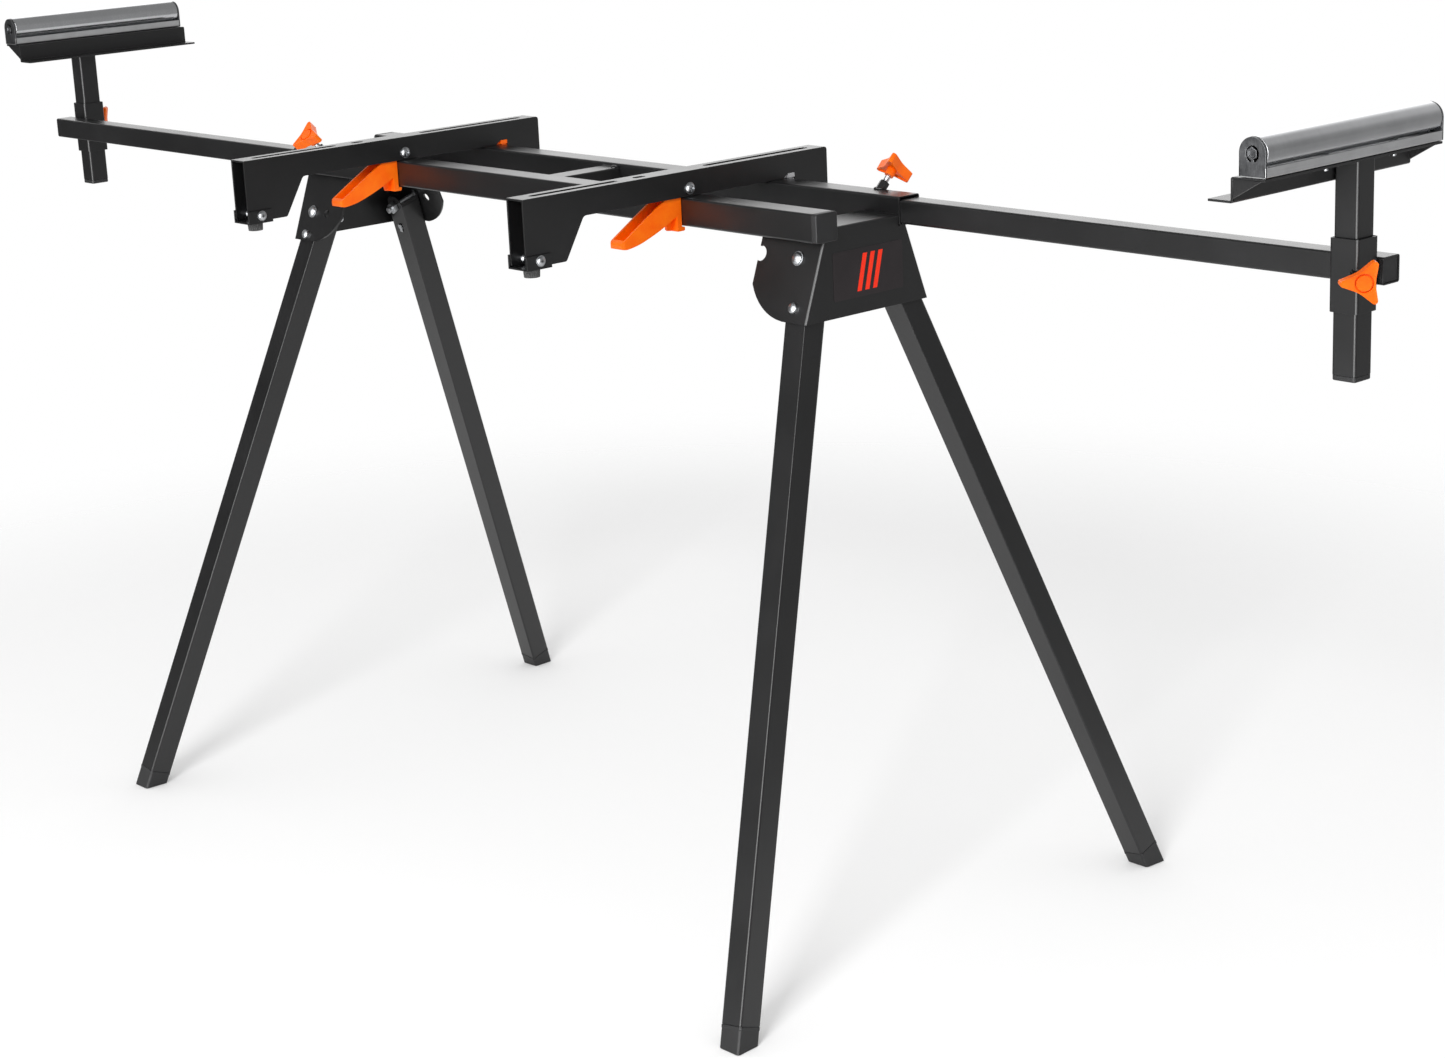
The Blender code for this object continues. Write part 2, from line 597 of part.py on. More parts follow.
def make_leg_bracket(label, side_x, pivot_x, pivot_down, lock, splay, mat, parent):
    """Bent sheet bracket: outer plate, two splayed flanges and a flange between the rails."""
    slope = math.tan(FLANGE_TILT)
    across = SHEET / math.cos(FLANGE_TILT)
    tongue = RAIL_Y - RAIL_SIDE / 2 - GAP
    face = BRACKET_FACE_X
    inner_end = face - BRACKET_DEPTH

    def half_width(z, inset=0.0):
        return BRACKET_HALF_TOP + (BRACKET_TOP - z) * slope - inset

    half_low = half_width(BRACKET_LOW)
    body = [(half_low, BRACKET_LOW), (BRACKET_HALF_TOP, BRACKET_TOP), (tongue, BRACKET_TOP),
            (tongue, BRACKET_TONGUE_TOP)]
    body += [(-y, z) for y, z in reversed(body)]
    bm = along_x(extruded(body, inner_end, face))
    bends = []
    for edge in bm.edges:
        a, b = (vert.co for vert in edge.verts)
        steep = abs(a.z - b.z) > 0.02 and abs(a.y - b.y) > 0.005
        top = abs(a.z + b.z - 2 * BRACKET_TONGUE_TOP) < 1e-6 and abs(a.x - b.x) < 1e-6
        if min(a.x, b.x) > face - 1e-6 and (steep or top):
            bends.append(edge)
    bmesh.ops.bevel(bm, geom=bends, offset=BEND_RADIUS, segments=3, profile=0.5,
                    affect="EDGES", clamp_overlap=True)
    bracket = solid(f"{label}_leg_bracket", bm)

    low, high = BRACKET_LOW - 0.01, BRACKET_TOP + 0.004
    inside = [(half_width(low, across), low), (half_width(high, across), high),
              (-half_width(high, across), high), (-half_width(low, across), low)]
    under_shelf = BRACKET_TONGUE_TOP - SHEET
    cutters = [
        solid("inside", along_x(extruded(inside, inner_end - 0.01, face - SHEET))),
        solid("under_shelf", box((inner_end - 0.01, face - SHEET), (-tongue - 0.005, tongue + 0.005),
                                 (high - 0.002, under_shelf))),
        solid("past_shelf", box((inner_end - 0.01, face - BRACKET_TOP_FLANGE),
                                (-tongue - 0.005, tongue + 0.005), (high - 0.002, RAIL_TOP)))]
    arc_x = PIVOT_X_RIGHT - 0.0005
    arc_z = -PIVOT_DOWN_RIGHT
    reach = math.sqrt(BRACKET_ARC ** 2 - (arc_x - inner_end) ** 2)
    first = math.radians(-94)
    last = -math.pi + math.asin(reach / BRACKET_ARC)
    arc = [(arc_x + BRACKET_ARC * math.cos(a), arc_z + BRACKET_ARC * math.sin(a))
           for a in (first + (last - first) * i / 8 for i in range(9))]
    corner = [(arc[0][0], arc_z - BRACKET_ARC - 0.01)] + arc + [
        (inner_end - 0.01, arc[-1][1]), (inner_end - 0.01, arc_z - BRACKET_ARC - 0.01)]
    spots = [(pivot_x, -pivot_down, PIVOT_RADIUS + BOLT_PLAY, 16),
             (pivot_x + lock * math.sin(splay), -pivot_down - lock * math.cos(splay),
              LOCK_RADIUS + BOLT_PLAY, 16),
             (inner_end + 0.0027, -PIVOT_DOWN_RIGHT, NOTCH_RADIUS, 18)]
    if side_x < 0:
        spots.append((pivot_x - lock, -pivot_down, 0.005, 12))
    for side_y in (-1, 1):
        plane = flange_frame(side_y)
        for outline in [corner] + [circle(radius, sides, x, z) for x, z, radius, sides in spots]:
            cutter = solid("cutter", along_y(extruded(outline, -0.012, 0.012)))
            cutter.matrix_basis = plane
            cutters.append(cutter)
    cut(bracket, *cutters)
    if side_x < 0:
        bm = bmesh.new()
        bm.from_mesh(bracket.data)
        bmesh.ops.scale(bm, verts=bm.verts[:], vec=(-1, 1, 1))
        bmesh.ops.reverse_faces(bm, faces=bm.faces[:])
        bm.to_mesh(bracket.data)
        bm.free()
    return finish(bracket, mat, parent)


def make_leg(label, side_x, side_y, pivot_x, pivot_down, lock, splay, mats, root):
    """One leg on its hinge frame, with its foot, its pivot bolt and its lock button."""
    black, plastic, zinc = mats
    matrix, out = hinge_matrix(side_x, side_y, pivot_x, pivot_down)
    hinge = frame(f"{label}_hinge", matrix, root)
    swing = Matrix.Rotation(-splay, 4, "Y")
    world = matrix @ swing
    down = world.to_3x3() @ Vector((0, 0, -1))
    length = matrix.translation.z / -down.z
    half = LEG_SIDE / 2
    tube_end = -(length - FOOT_HEIGHT)

    arch = [(half * math.cos(a), half * math.sin(a)) for a in (math.pi * i / 10 for i in range(11))]
    outline = [(half, tube_end)] + arch + [(-half, tube_end)]
    leg = solid(f"{label}_leg", along_y(extruded(outline, -half, half)))
    bm = bmesh.new()
    bm.from_mesh(leg.data)
    longs = [e for e in bm.edges if abs(e.verts[0].co.z - e.verts[1].co.z) > 0.1]
    bmesh.ops.bevel(bm, geom=longs, offset=TUBE_ROUND, segments=2, profile=0.5,
                    affect="EDGES", clamp_overlap=True)
    bm.to_mesh(leg.data)
    bm.free()
    inner = half - TUBE_WALL
    hollow = solid("hollow", moved(
        extruded(square(2 * inner, 0.001, 1), tube_end - 0.01, half + 0.01)))
    pin = solid("pin", along_y(extruded(circle(PIVOT_RADIUS + BOLT_PLAY, 16), -0.02, 0.02)))
    reach = sorted((out * (inner - 0.003), out * (half + 0.01)))
    catch = solid("catch", along_y(extruded(circle(LOCK_RADIUS, 12, 0.0, -lock), *reach)))
    cut(leg, hollow, pin, catch)
    finish(leg, black, hinge, swing)

    foot = solid(f"{label}_foot_cap", extruded(
        square(FOOT_SIDE, TUBE_ROUND + 0.0005, 3), tube_end - 0.05, tube_end - GAP))
    plug = solid("plug", extruded(
        square(2 * (inner - GAP), 0.001, 1), tube_end - 0.006, tube_end + FOOT_PLUG))
    join(foot, plug)
    inverse = world.inverted()
    floor_point = inverse @ Vector((world.translation.x, world.translation.y, 0.0))
    floor_normal = inverse.to_3x3() @ Vector((0, 0, -1))
    bm = bmesh.new()
    bm.from_mesh(foot.data)
    made = bmesh.ops.bisect_plane(
        bm, geom=bm.verts[:] + bm.edges[:] + bm.faces[:], plane_co=floor_point,
        plane_no=floor_normal, clear_outer=True)
    rim = [item for item in made["geom_cut"] if isinstance(item, bmesh.types.BMEdge)]
    bmesh.ops.edgeloop_fill(bm, edges=rim)
    bmesh.ops.recalc_face_normals(bm, faces=bm.faces[:])
    bm.to_mesh(foot.data)
    bm.free()
    finish(foot, plastic, hinge, swing)

    to_bolt = Matrix.Rotation(-out * math.pi / 2, 4, "X")  # local +Z to the outward side
    seat = FLANGE_OUTER + GAP
    washer = (half + GAP, FLANGE_INNER - GAP)
    bolt = solid(f"{label}_pivot_bolt", turned(
        [(0.0, -half - 0.012), (PIVOT_RADIUS, -half - 0.012), (PIVOT_RADIUS, washer[0]),
         (0.009, washer[0]), (0.009, washer[1]), (PIVOT_RADIUS, washer[1]),
         (PIVOT_RADIUS, seat), (PIVOT_HEAD_RADIUS + 0.001, seat),
         (PIVOT_HEAD_RADIUS + 0.001, seat + 0.001)]
        + dome(PIVOT_HEAD_RADIUS, PIVOT_HEAD - 0.001, seat + 0.001), 20))
    nut = solid("nut", extruded(hexagon(NUT_FLATS), -half - GAP - NUT_HEIGHT, -half - GAP))
    join(bolt, nut)
    finish(bolt, zinc, hinge, to_bolt, smooth=True)

    spot = swing @ Vector((0, 0, -lock))
    guide = frame(f"{label}_lock", Matrix.Translation(spot) @ to_bolt, hinge)
    low = FLANGE_OUTER - LOCK_SEAT
    shoulder = FLANGE_OUTER + LOCK_PROUD * 0.45
    button = solid(f"{label}_lock_button", turned(
        [(0.0, low), (LOCK_RADIUS, low)]
        + dome(LOCK_RADIUS, FLANGE_OUTER + LOCK_PROUD - shoulder, shoulder), 16))
    finish(button, zinc, guide, smooth=True)


def make_saw_bracket(label, x, mats, root):
    """Saw bracket on its slide frame at (x, 0, rail top), with its clip, foot, hook and lever."""
    black, plastic, orange, zinc, rubber = mats
    slide = frame(f"{label}_saw_bracket_slide", Matrix.Translation((x, 0, 0)), root)
    half = SAW_WIDTH / 2
    low = RAIL_TOP + GAP
    rear = RAIL_Y + RAIL_SIDE / 2
    tail = rear + TAIL_PLAY
    outline = rounded([
        (SAW_FRONT, HOOK_LOW, 0.003), (HOOK_BACK_LOW, HOOK_LOW, 0.003),
        (HOOK_BACK_TOP, low, 0.005), (tail, low, 0.001), (tail, TAIL_LOW, 0.003),
        (SAW_BACK, TAIL_LOW, 0.003), (SAW_BACK, SAW_TOP, 0.003), (SAW_FRONT, SAW_TOP, 0.001)], 2)
    channel = solid(f"{label}_saw_bracket", along_x(extruded(outline, -half, half)))
    bm = bmesh.new()
    bm.from_mesh(channel.data)
    tops = [e for e in bm.edges if all(abs(v.co.z - SAW_TOP) < 1e-6 for v in e.verts)
            and abs(e.verts[0].co.y - e.verts[1].co.y) > 0.1]
    bmesh.ops.bevel(bm, geom=tops, offset=0.0025, segments=2, profile=0.5,
                    affect="EDGES", clamp_overlap=True)
    bm.to_mesh(channel.data)
    bm.free()
    cutters = [solid("inside", box(
        (-SAW_INNER / 2, SAW_INNER / 2), (SAW_FRONT - 0.01, SAW_BACK + 0.01),
        (HOOK_LOW - 0.01, SAW_TOP - SAW_SHEET)))]
    for start, end in SLOTS:
        cutters.append(solid("slot", extruded(
            slot(SLOT_HALF_WIDTH, start + SLOT_HALF_WIDTH, end - SLOT_HALF_WIDTH),
            SAW_TOP - 0.01, SAW_TOP + 0.01)))
    for y, z, radius in ((LEVER_PIVOT_Y, LEVER_PIVOT_Z, LEVER_BOLT_RADIUS + BOLT_PLAY),
                         (CLIP_BOLT_Y, CLIP_BOLT_Z, CLIP_BOLT_RADIUS + BOLT_PLAY)):
        cutters.append(solid("hole", along_x(extruded(circle(radius, 12, y, z), -0.02, 0.02))))
    window = [(rear - 0.009, low - 0.004), (rear + 0.0075, low - 0.004), (rear + 0.0075, low + 0.0052),
              (rear - 0.003, low + 0.0052), (rear - 0.009, low + 0.0005)]
    cutters.append(solid("window", along_x(extruded(window, -0.02, 0.02))))
    cut(channel, *cutters)
    finish(channel, black, slide)

    clip_half = half + GAP + SAW_SHEET
    clip_low = HOOK_LOW - GAP - SAW_SHEET
    clip = solid(f"{label}_foot_clip", box(
        (-clip_half, clip_half), (SAW_FRONT - 0.001, SAW_FRONT - 0.001 + CLIP_LENGTH),
        (clip_low, clip_low + CLIP_HEIGHT)))
    inside = solid("inside", box(
        (-half - GAP, half + GAP), (SAW_FRONT - 0.01, SAW_FRONT + CLIP_LENGTH + 0.01),
        (HOOK_LOW - GAP, RAIL_TOP)))
    stud_hole = solid("stud_hole", moved(
        rod(0.003 + BOLT_PLAY, clip_low - 0.01, clip_low + 0.01, 12), 0, CLIP_BOLT_Y))
    cut(clip, inside, stud_hole)
    reach = clip_half
    screw = turned(
        [(0.0, -reach - 0.005), (CLIP_BOLT_RADIUS, -reach - 0.005), (CLIP_BOLT_RADIUS, reach),
         (0.0045, reach - 0.0005)] + dome(0.0045, 0.0028, reach, 3), 14)
    turn_x = Matrix.Rotation(math.pi / 2, 4, "Y")
    bmesh.ops.transform(screw, matrix=turn_x, verts=screw.verts[:])
    nut = along_x(extruded(hexagon(0.010), -reach - 0.0045, -reach + 0.0005))
    join(clip, solid("screw", moved(screw, 0, CLIP_BOLT_Y, CLIP_BOLT_Z)),
         solid("nut", moved(nut, 0, CLIP_BOLT_Y, CLIP_BOLT_Z)))
    finish(clip, black, slide)

    foot_top = clip_low - GAP
    foot = solid(f"{label}_rubber_foot", turned(
        [(0.0, foot_top - RUBBER_HEIGHT), (RUBBER_RADIUS - 0.001, foot_top - RUBBER_HEIGHT),
         (RUBBER_RADIUS, foot_top - RUBBER_HEIGHT + 0.001), (RUBBER_RADIUS, foot_top),
         (0.003, foot_top), (0.003, HOOK_LOW + 0.0012), (0.0, HOOK_LOW + 0.0012)], 20))
    finish(foot, rubber, slide, Matrix.Translation((0, CLIP_BOLT_Y, 0)), smooth=True)

    make_rear_hook(label, slide, orange, rear, low)
    make_lever(label, slide, orange, zinc)


def make_rear_hook(label, slide, orange, rear, low):
    """Plastic hook inside the channel, down behind the rear rail and under it."""
    behind = rear + GAP
    hook_half = SAW_INNER / 2 - GAP
    under = RAIL_BOTTOM - GAP
    profile = [(rear - 0.0115, low), (rear - 0.0115, low + 0.013), (behind + 0.010, low + 0.013),
               (behind + 0.010, low - 0.004), (behind + REAR_HOOK_ARM, low - 0.008),
               (behind + REAR_HOOK_ARM, under - LEVER_TOE), (rear - LEVER_TOE_REACH, under - LEVER_TOE),
               (rear - LEVER_TOE_REACH, under), (behind, under), (behind, low)]
    hook = solid(f"{label}_rear_hook", along_x(extruded(profile, -hook_half, hook_half)))
    ear = [(rear - 0.0025, low + 0.0003), (rear + 0.0070, low + 0.0003), (rear + 0.0070, low + 0.0048),
           (rear - 0.0025, low + 0.0048)]
    join(hook, solid("ears", along_x(extruded(ear, -SAW_WIDTH / 2, SAW_WIDTH / 2))))
    finish(hook, orange, slide)


def make_lever(label, slide, orange, zinc):
    """Clamp lever on its bolt: hub in the channel, rib down the rail's face, toe under the rail,
    and a hollow handle forwards. It is drawn about the bolt's axis."""
    hinge = frame(f"{label}_lever_hinge",
                  Matrix.Translation((0, LEVER_PIVOT_Y, LEVER_PIVOT_Z)), slide)
    y0, z0 = LEVER_PIVOT_Y, LEVER_PIVOT_Z
    face = -RAIL_Y - RAIL_SIDE / 2 - 0.0005 - y0
    top = RAIL_TOP - z0
    under = RAIL_BOTTOM - 0.0012 - z0
    toe_end = face + 0.0005 + LEVER_TOE_REACH
    front = face - LEVER_RIB
    handle_top = [(-0.0940, -0.0477), (-0.0915, -0.0442), (-0.0625, -0.0265),
                  (-0.0330, -0.0091)]
    handle_low = [(front - 0.0006, -0.0277), (-0.0349, -0.0365), (-0.0525, -0.0437),
                  (-0.0699, -0.0495), (-0.0855, -0.0523), (-0.0925, -0.0518)]
    hub = [(LEVER_HUB * math.cos(a), LEVER_HUB * math.sin(a))
           for a in (math.radians(110 - 24 * i) for i in range(9))]
    outline = handle_top + hub + [
        (face, top + 0.0012), (face, under), (toe_end, under),
        (toe_end, under - LEVER_TOE + 0.001), (toe_end - 0.001, under - LEVER_TOE),
        (front, under - LEVER_TOE)] + handle_low
    half = LEVER_WIDTH / 2
    lever = solid(f"{label}_clamp_lever", along_x(extruded(outline, -half, half)))
    trough = [(-0.0870, 0.02), (-0.0870, -0.0467), (-0.0699, -0.0455), (-0.0525, -0.0395),
              (-0.0349, -0.0322), (-0.0225, -0.0257), (-0.0195, 0.02)]
    inner = half - LEVER_WALL
    bolt_hole = solid("bolt_hole", along_x(extruded(
        circle(LEVER_BOLT_RADIUS + BOLT_PLAY, 12), -0.02, 0.02)))
    cut(lever, solid("trough", along_x(extruded(trough, -inner, inner))), bolt_hole)
    finish(lever, orange, hinge)

    reach = SAW_WIDTH / 2 + GAP
    bolt = solid(f"{label}_lever_bolt", turned(
        [(0.0, -reach - 0.007), (LEVER_BOLT_RADIUS, -reach - 0.007), (LEVER_BOLT_RADIUS, reach),
         (LEVER_BOLT_HEAD + 0.0008, reach), (LEVER_BOLT_HEAD + 0.0008, reach + 0.0008)]
        + dome(LEVER_BOLT_HEAD, 0.0032, reach + 0.0008, 3), 16))
    nut = solid("nut", extruded(hexagon(0.010), -reach - 0.005, -reach))
    join(bolt, nut)
    finish(bolt, zinc, slide, Matrix.Translation((0, y0, z0)) @ Matrix.Rotation(
        math.pi / 2, 4, "Y"), smooth=True)


def main():
    clear_scene()
    black = material("black_powder_coat", (0.018, 0.018, 0.019), 0.42)
    plastic = material("black_plastic", (0.022, 0.022, 0.023), 0.5)
    orange = material("orange_plastic", (0.90, 0.13, 0.01), 0.4)
    zinc = material("zinc_plate", (0.62, 0.62, 0.63), 0.3, 1.0)
    grey = material("galvanised_sheet", (0.52, 0.52, 0.53), 0.42, 0.9)
    steel = material("roller_steel", (0.66, 0.66, 0.67), 0.28, 1.0)
    rubber = material("black_rubber", (0.03, 0.03, 0.03), 0.8)

    root = frame("stand")
    half_turn = Matrix.Rotation(math.pi, 4, "Z")
    screw_depth = (SEAT_SHIFT + (RAIL_SIDE - ARM_SIDE) / 2) * math.sqrt(2.0) - GAP
    for label, rail, knob_x, lift, turn, phase in (
            ("right", "rear_rail", KNOB_X_RIGHT, RAISE_RIGHT, Matrix.Identity(4), math.pi),
            ("left", "front_rail", KNOB_X_LEFT, RAISE_LEFT, half_turn, 0.0)):
        side = frame(f"{label}_side", turn, root)
        rail_frame = frame(f"{rail}_axis", Matrix.Translation((0, RAIL_Y, RAIL_AXIS_Z)), side)
        make_rail(rail, knob_x, black, rail_frame)
        cap = plug_cap(f"{rail}_cap", RAIL_SIDE, TUBE_WALL, RAIL_CAP, 0.015)
        turn_out = Matrix.Translation((-RAIL_HALF, 0, 0)) @ turn_to((-1, 0, 0))
        finish(cap, plastic, rail_frame, turn_out)
        half = RAIL_SIDE / 2
        knob = frame(f"{label}_arm_knob_axis", Matrix.Translation(
            (knob_x, RAIL_Y + half, RAIL_TOP)) @ turn_to((0, 1, 1)), side)
        make_knob(f"{label}_arm", knob, orange, zinc, screw_depth)

        arm = frame(f"{label}_arm_slide", Matrix.Translation((0, ARM_Y, ARM_Z)), side)
        make_arm(label, arm, black)
        knob = frame(f"{label}_post_knob_axis", Matrix.Translation(
            (POST_X + half, SLEEVE_Y - ARM_Y - half, KNOB_SLEEVE_Z - ARM_Z))
            @ turn_to((1, -1, 0)), arm)
        make_knob(f"{label}_post", knob, orange, zinc, screw_depth, phase)
        post = frame(f"{label}_post_slide", Matrix.Translation(
            (POST_AXIS_X, POST_AXIS_Y - ARM_Y, POST_LOW + lift - ARM_Z)), arm)
        axis = make_post(label, post, black, plastic, grey, zinc)
        make_roller(label, frame(f"{label}_roller_axis", Matrix.Translation(axis), post), steel)

    inside = RAIL_Y - RAIL_SIDE / 2 - GAP
    brace_top = RAIL_TOP - BRACE_DROP
    wall = TUBE_WALL
    brace = solid("centre_brace", box(
        (-BRACE_WIDTH / 2, BRACE_WIDTH / 2), (-inside, inside),
        (brace_top - BRACE_HEIGHT, brace_top)))
    cut(brace, solid("inside", box(
        (-BRACE_WIDTH / 2 + wall, BRACE_WIDTH / 2 - wall), (-inside - 0.01, inside + 0.01),
        (brace_top - BRACE_HEIGHT + wall, brace_top - wall))))
    finish(brace, black, root)

    for label, side_x, pivot_x, pivot_down, lock, splay in (
            ("right", 1, PIVOT_X_RIGHT, PIVOT_DOWN_RIGHT, LOCK_RIGHT, SPLAY_RIGHT),
            ("left", -1, PIVOT_X_LEFT, PIVOT_DOWN_LEFT, LOCK_LEFT, SPLAY_LEFT)):
        make_leg_bracket(label, side_x, pivot_x, pivot_down, lock, splay, black, root)
        for word, side_y in (("front", -1), ("back", 1)):
            make_leg(f"{label}_{word}", side_x, side_y, pivot_x, pivot_down, lock, splay,
                     (black, plastic, zinc), root)

    for label, x in (("right", SAW_X), ("left", -SAW_X)):
        make_saw_bracket(label, x, (black, plastic, orange, zinc, rubber), root)


main()
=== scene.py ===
"""Looks of a folding miter saw stand with two sliding extension arms and roller heads.

Metres, +Z up. X runs along the rails, +Y goes to the back, and the floor is at z = 0. What sits on
the right arm is built once and turned half a turn about Z for the left arm.
"""

import json
import logging
import math
from collections.abc import Callable, Iterator, Sequence
from contextlib import contextmanager
from dataclasses import dataclass
from enum import Enum

import bmesh
import bpy
from mathutils import Matrix, Vector


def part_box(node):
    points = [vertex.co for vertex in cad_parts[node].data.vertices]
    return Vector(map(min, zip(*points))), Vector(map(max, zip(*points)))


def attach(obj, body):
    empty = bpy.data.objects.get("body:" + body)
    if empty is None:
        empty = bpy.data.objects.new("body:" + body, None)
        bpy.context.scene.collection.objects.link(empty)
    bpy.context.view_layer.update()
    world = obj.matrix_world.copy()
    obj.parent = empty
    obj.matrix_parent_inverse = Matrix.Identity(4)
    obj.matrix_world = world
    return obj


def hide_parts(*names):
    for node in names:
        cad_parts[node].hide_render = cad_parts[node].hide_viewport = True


LOG = logging.getLogger("saw_stand")
Piece = bpy.types.Object
Outline = Sequence[tuple[float, float]]
Test = Callable[[Vector, Vector], bool]
GAP = 0.0003  # between pieces that touch
FACING = 0.9  # least cosine between a face's normal and the way that it looks
THROUGH = 0.01  # how far a cutter stands out of what it cuts

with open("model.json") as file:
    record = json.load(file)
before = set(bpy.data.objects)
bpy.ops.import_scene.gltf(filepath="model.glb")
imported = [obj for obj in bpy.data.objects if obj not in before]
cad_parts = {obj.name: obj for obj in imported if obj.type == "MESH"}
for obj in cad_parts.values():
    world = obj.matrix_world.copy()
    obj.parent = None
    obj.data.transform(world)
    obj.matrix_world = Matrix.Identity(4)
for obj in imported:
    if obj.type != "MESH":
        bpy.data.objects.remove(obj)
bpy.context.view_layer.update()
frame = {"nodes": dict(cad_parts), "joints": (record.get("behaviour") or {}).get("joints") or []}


# Bench: the moves that every piece is made with


def deselect() -> None:
    """Goes to object mode with nothing selected."""
    if bpy.context.mode != "OBJECT":
        bpy.ops.object.mode_set(mode="OBJECT")
    bpy.ops.object.select_all(action="DESELECT")


def activate(piece: Piece) -> Piece:
    """Makes the piece the only selected one, and the active one.

    Args:
        piece: The piece to select.

    Returns:
        The same piece.
    """
    deselect()
    piece.select_set(True)
    bpy.context.view_layer.objects.active = piece
    return piece


def adopt(name: str) -> Piece:
    """Names the primitive that was just added and puts its place into its mesh.

    Args:
        name: Name for the object and its mesh.

    Returns:
        The primitive, with its object at the origin.
    """
    piece = bpy.context.object
    piece.name = piece.data.name = name
    bpy.ops.object.transform_apply(location=True, rotation=True, scale=True)
    return piece


@contextmanager
def editing(piece: Piece) -> Iterator[None]:
    """Opens the piece in edit mode with nothing selected, and closes it afterwards.

    Args:
        piece: The piece to open.

    Yields:
        Nothing, while the piece is open.
    """
    activate(piece)
    bpy.ops.object.mode_set(mode="EDIT")
    bpy.ops.mesh.select_mode(type="VERT")
    bpy.ops.mesh.select_all(action="DESELECT")
    yield
    bpy.ops.object.mode_set(mode="OBJECT")


def select_all() -> None:
    """Selects all of the open piece."""
    bpy.ops.mesh.select_all(action="SELECT")


def extrude(*move: float) -> None:
    """Extrudes the selection by a move."""
    bpy.ops.mesh.extrude_region_move(TRANSFORM_OT_translate={"value": move})


def pick_edges(piece: Piece, test: Test) -> None:
    """Selects the edges of the open piece whose two ends pass the test.

    Args:
        piece: The open piece.
        test: Says of an edge's two ends whether the edge counts.
    """
    bpy.ops.mesh.select_mode(type="EDGE")
    mesh = bmesh.from_edit_mesh(piece.data)
    for edge in mesh.edges:
        edge.select_set(test(edge.verts[0].co, edge.verts[1].co))
    bmesh.update_edit_mesh(piece.data)


def pick_faces(piece: Piece, test: Test) -> None:
    """Selects the faces of the open piece whose middle and normal pass the test.

    Args:
        piece: The open piece.
        test: Says of a face's middle and normal whether the face counts.
    """
    bpy.ops.mesh.select_mode(type="FACE")
    mesh = bmesh.from_edit_mesh(piece.data)
    mesh.normal_update()
    for face in mesh.faces:
        face.select_set(test(face.calc_center_median(), face.normal))
    bmesh.update_edit_mesh(piece.data)


def round_edges(piece: Piece, test: Test, width: float, segments: int) -> Piece:
    """Rounds the piece's edges whose two ends pass the test.

    Args:
        piece: The piece.
        test: Says of an edge's two ends whether the edge counts.
        width: Width of the rounding.
        segments: Faces across the rounding.

    Returns:
        The same piece.
    """
    with editing(piece):
        pick_edges(piece, test)
        bpy.ops.mesh.bevel(offset=width, segments=segments, affect="EDGES")
    return piece


def rising(least: float) -> Test:
    """Test for edges that climb at least so far."""
    return lambda a, b: abs(a.z - b.z) > least


def toward(x: float = 0.0, y: float = 0.0, z: float = 0.0) -> Test:
    """Test for faces that look in a direction."""
    return lambda middle, normal: normal.dot(Vector((x, y, z))) > FACING


def along(x: float = 0.0, y: float = 0.0, z: float = 0.0) -> Test:
    """Test for faces that look in a direction or against it."""
    return lambda middle, normal: abs(normal.dot(Vector((x, y, z)))) > FACING


def central(way: int) -> Test:
    """Test for the middle face of a bar's upper end, way 1, or of its lower end, way -1."""
    return lambda middle, normal: (normal.z * way > FACING
                                   and abs(middle.x) + abs(middle.y) < 0.001)


def reshape(piece: Piece, move: Callable[[Vector], tuple]) -> Piece:
    """Moves each vertex of the piece to where the function takes it.

    Args:
        piece: The piece.
        move: Gives a vertex's new place from its old one.

    Returns:
        The same piece.
    """
    with editing(piece):
        mesh = bmesh.from_edit_mesh(piece.data)
        for vert in mesh.verts:
            vert.co = move(vert.co)
        bmesh.update_edit_mesh(piece.data)
    return piece


def open_ends(piece: Piece, test: Test, wall: float) -> Piece:
    """Removes the faces that pass the test and gives the others a wall, inwards.

    Args:
        piece: The solid bar.
        test: Says of a face's middle and normal whether the face counts.
        wall: Thickness of the wall.

    Returns:
        The same piece, hollow.
    """
    with editing(piece):
        pick_faces(piece, test)
        bpy.ops.mesh.delete(type="FACE")
    return modify(piece, "SOLIDIFY", thickness=wall, offset=-1.0, use_even_offset=True)


def block(name: str, low: Sequence[float], high: Sequence[float]) -> Piece:
    """Adds a cube between two corners.

    Args:
        name: Name of the new piece.
        low: Its lowest corner.
        high: Its highest corner.

    Returns:
        The box.
    """
    low, high = Vector(low), Vector(high)
    deselect()
    bpy.ops.mesh.primitive_cube_add(size=1.0, location=(low + high) / 2, scale=high - low)
    return adopt(name)


def round_bar(name: str, radius: float, low: float, high: float, sides: int = 32) -> Piece:
    """Adds a cylinder about Z from low to high.

    Args:
        name: Name of the new piece.
        radius: Radius of the bar.
        low: Height of its lower end.
        high: Height of its upper end.
        sides: Number of its sides.

    Returns:
        The bar.
    """
    deselect()
    bpy.ops.mesh.primitive_cylinder_add(
        vertices=sides, radius=radius, depth=high - low, location=(0, 0, (low + high) / 2))
    return adopt(name)


class Plane(Enum):
    """Plane that an outline is drawn in, as its two axes and the one that it grows along."""

    XY = ((1, 0, 0), (0, 1, 0), (0, 0, 1))
    XZ = ((1, 0, 0), (0, 0, 1), (0, 1, 0))
    YZ = ((0, 1, 0), (0, 0, 1), (1, 0, 0))


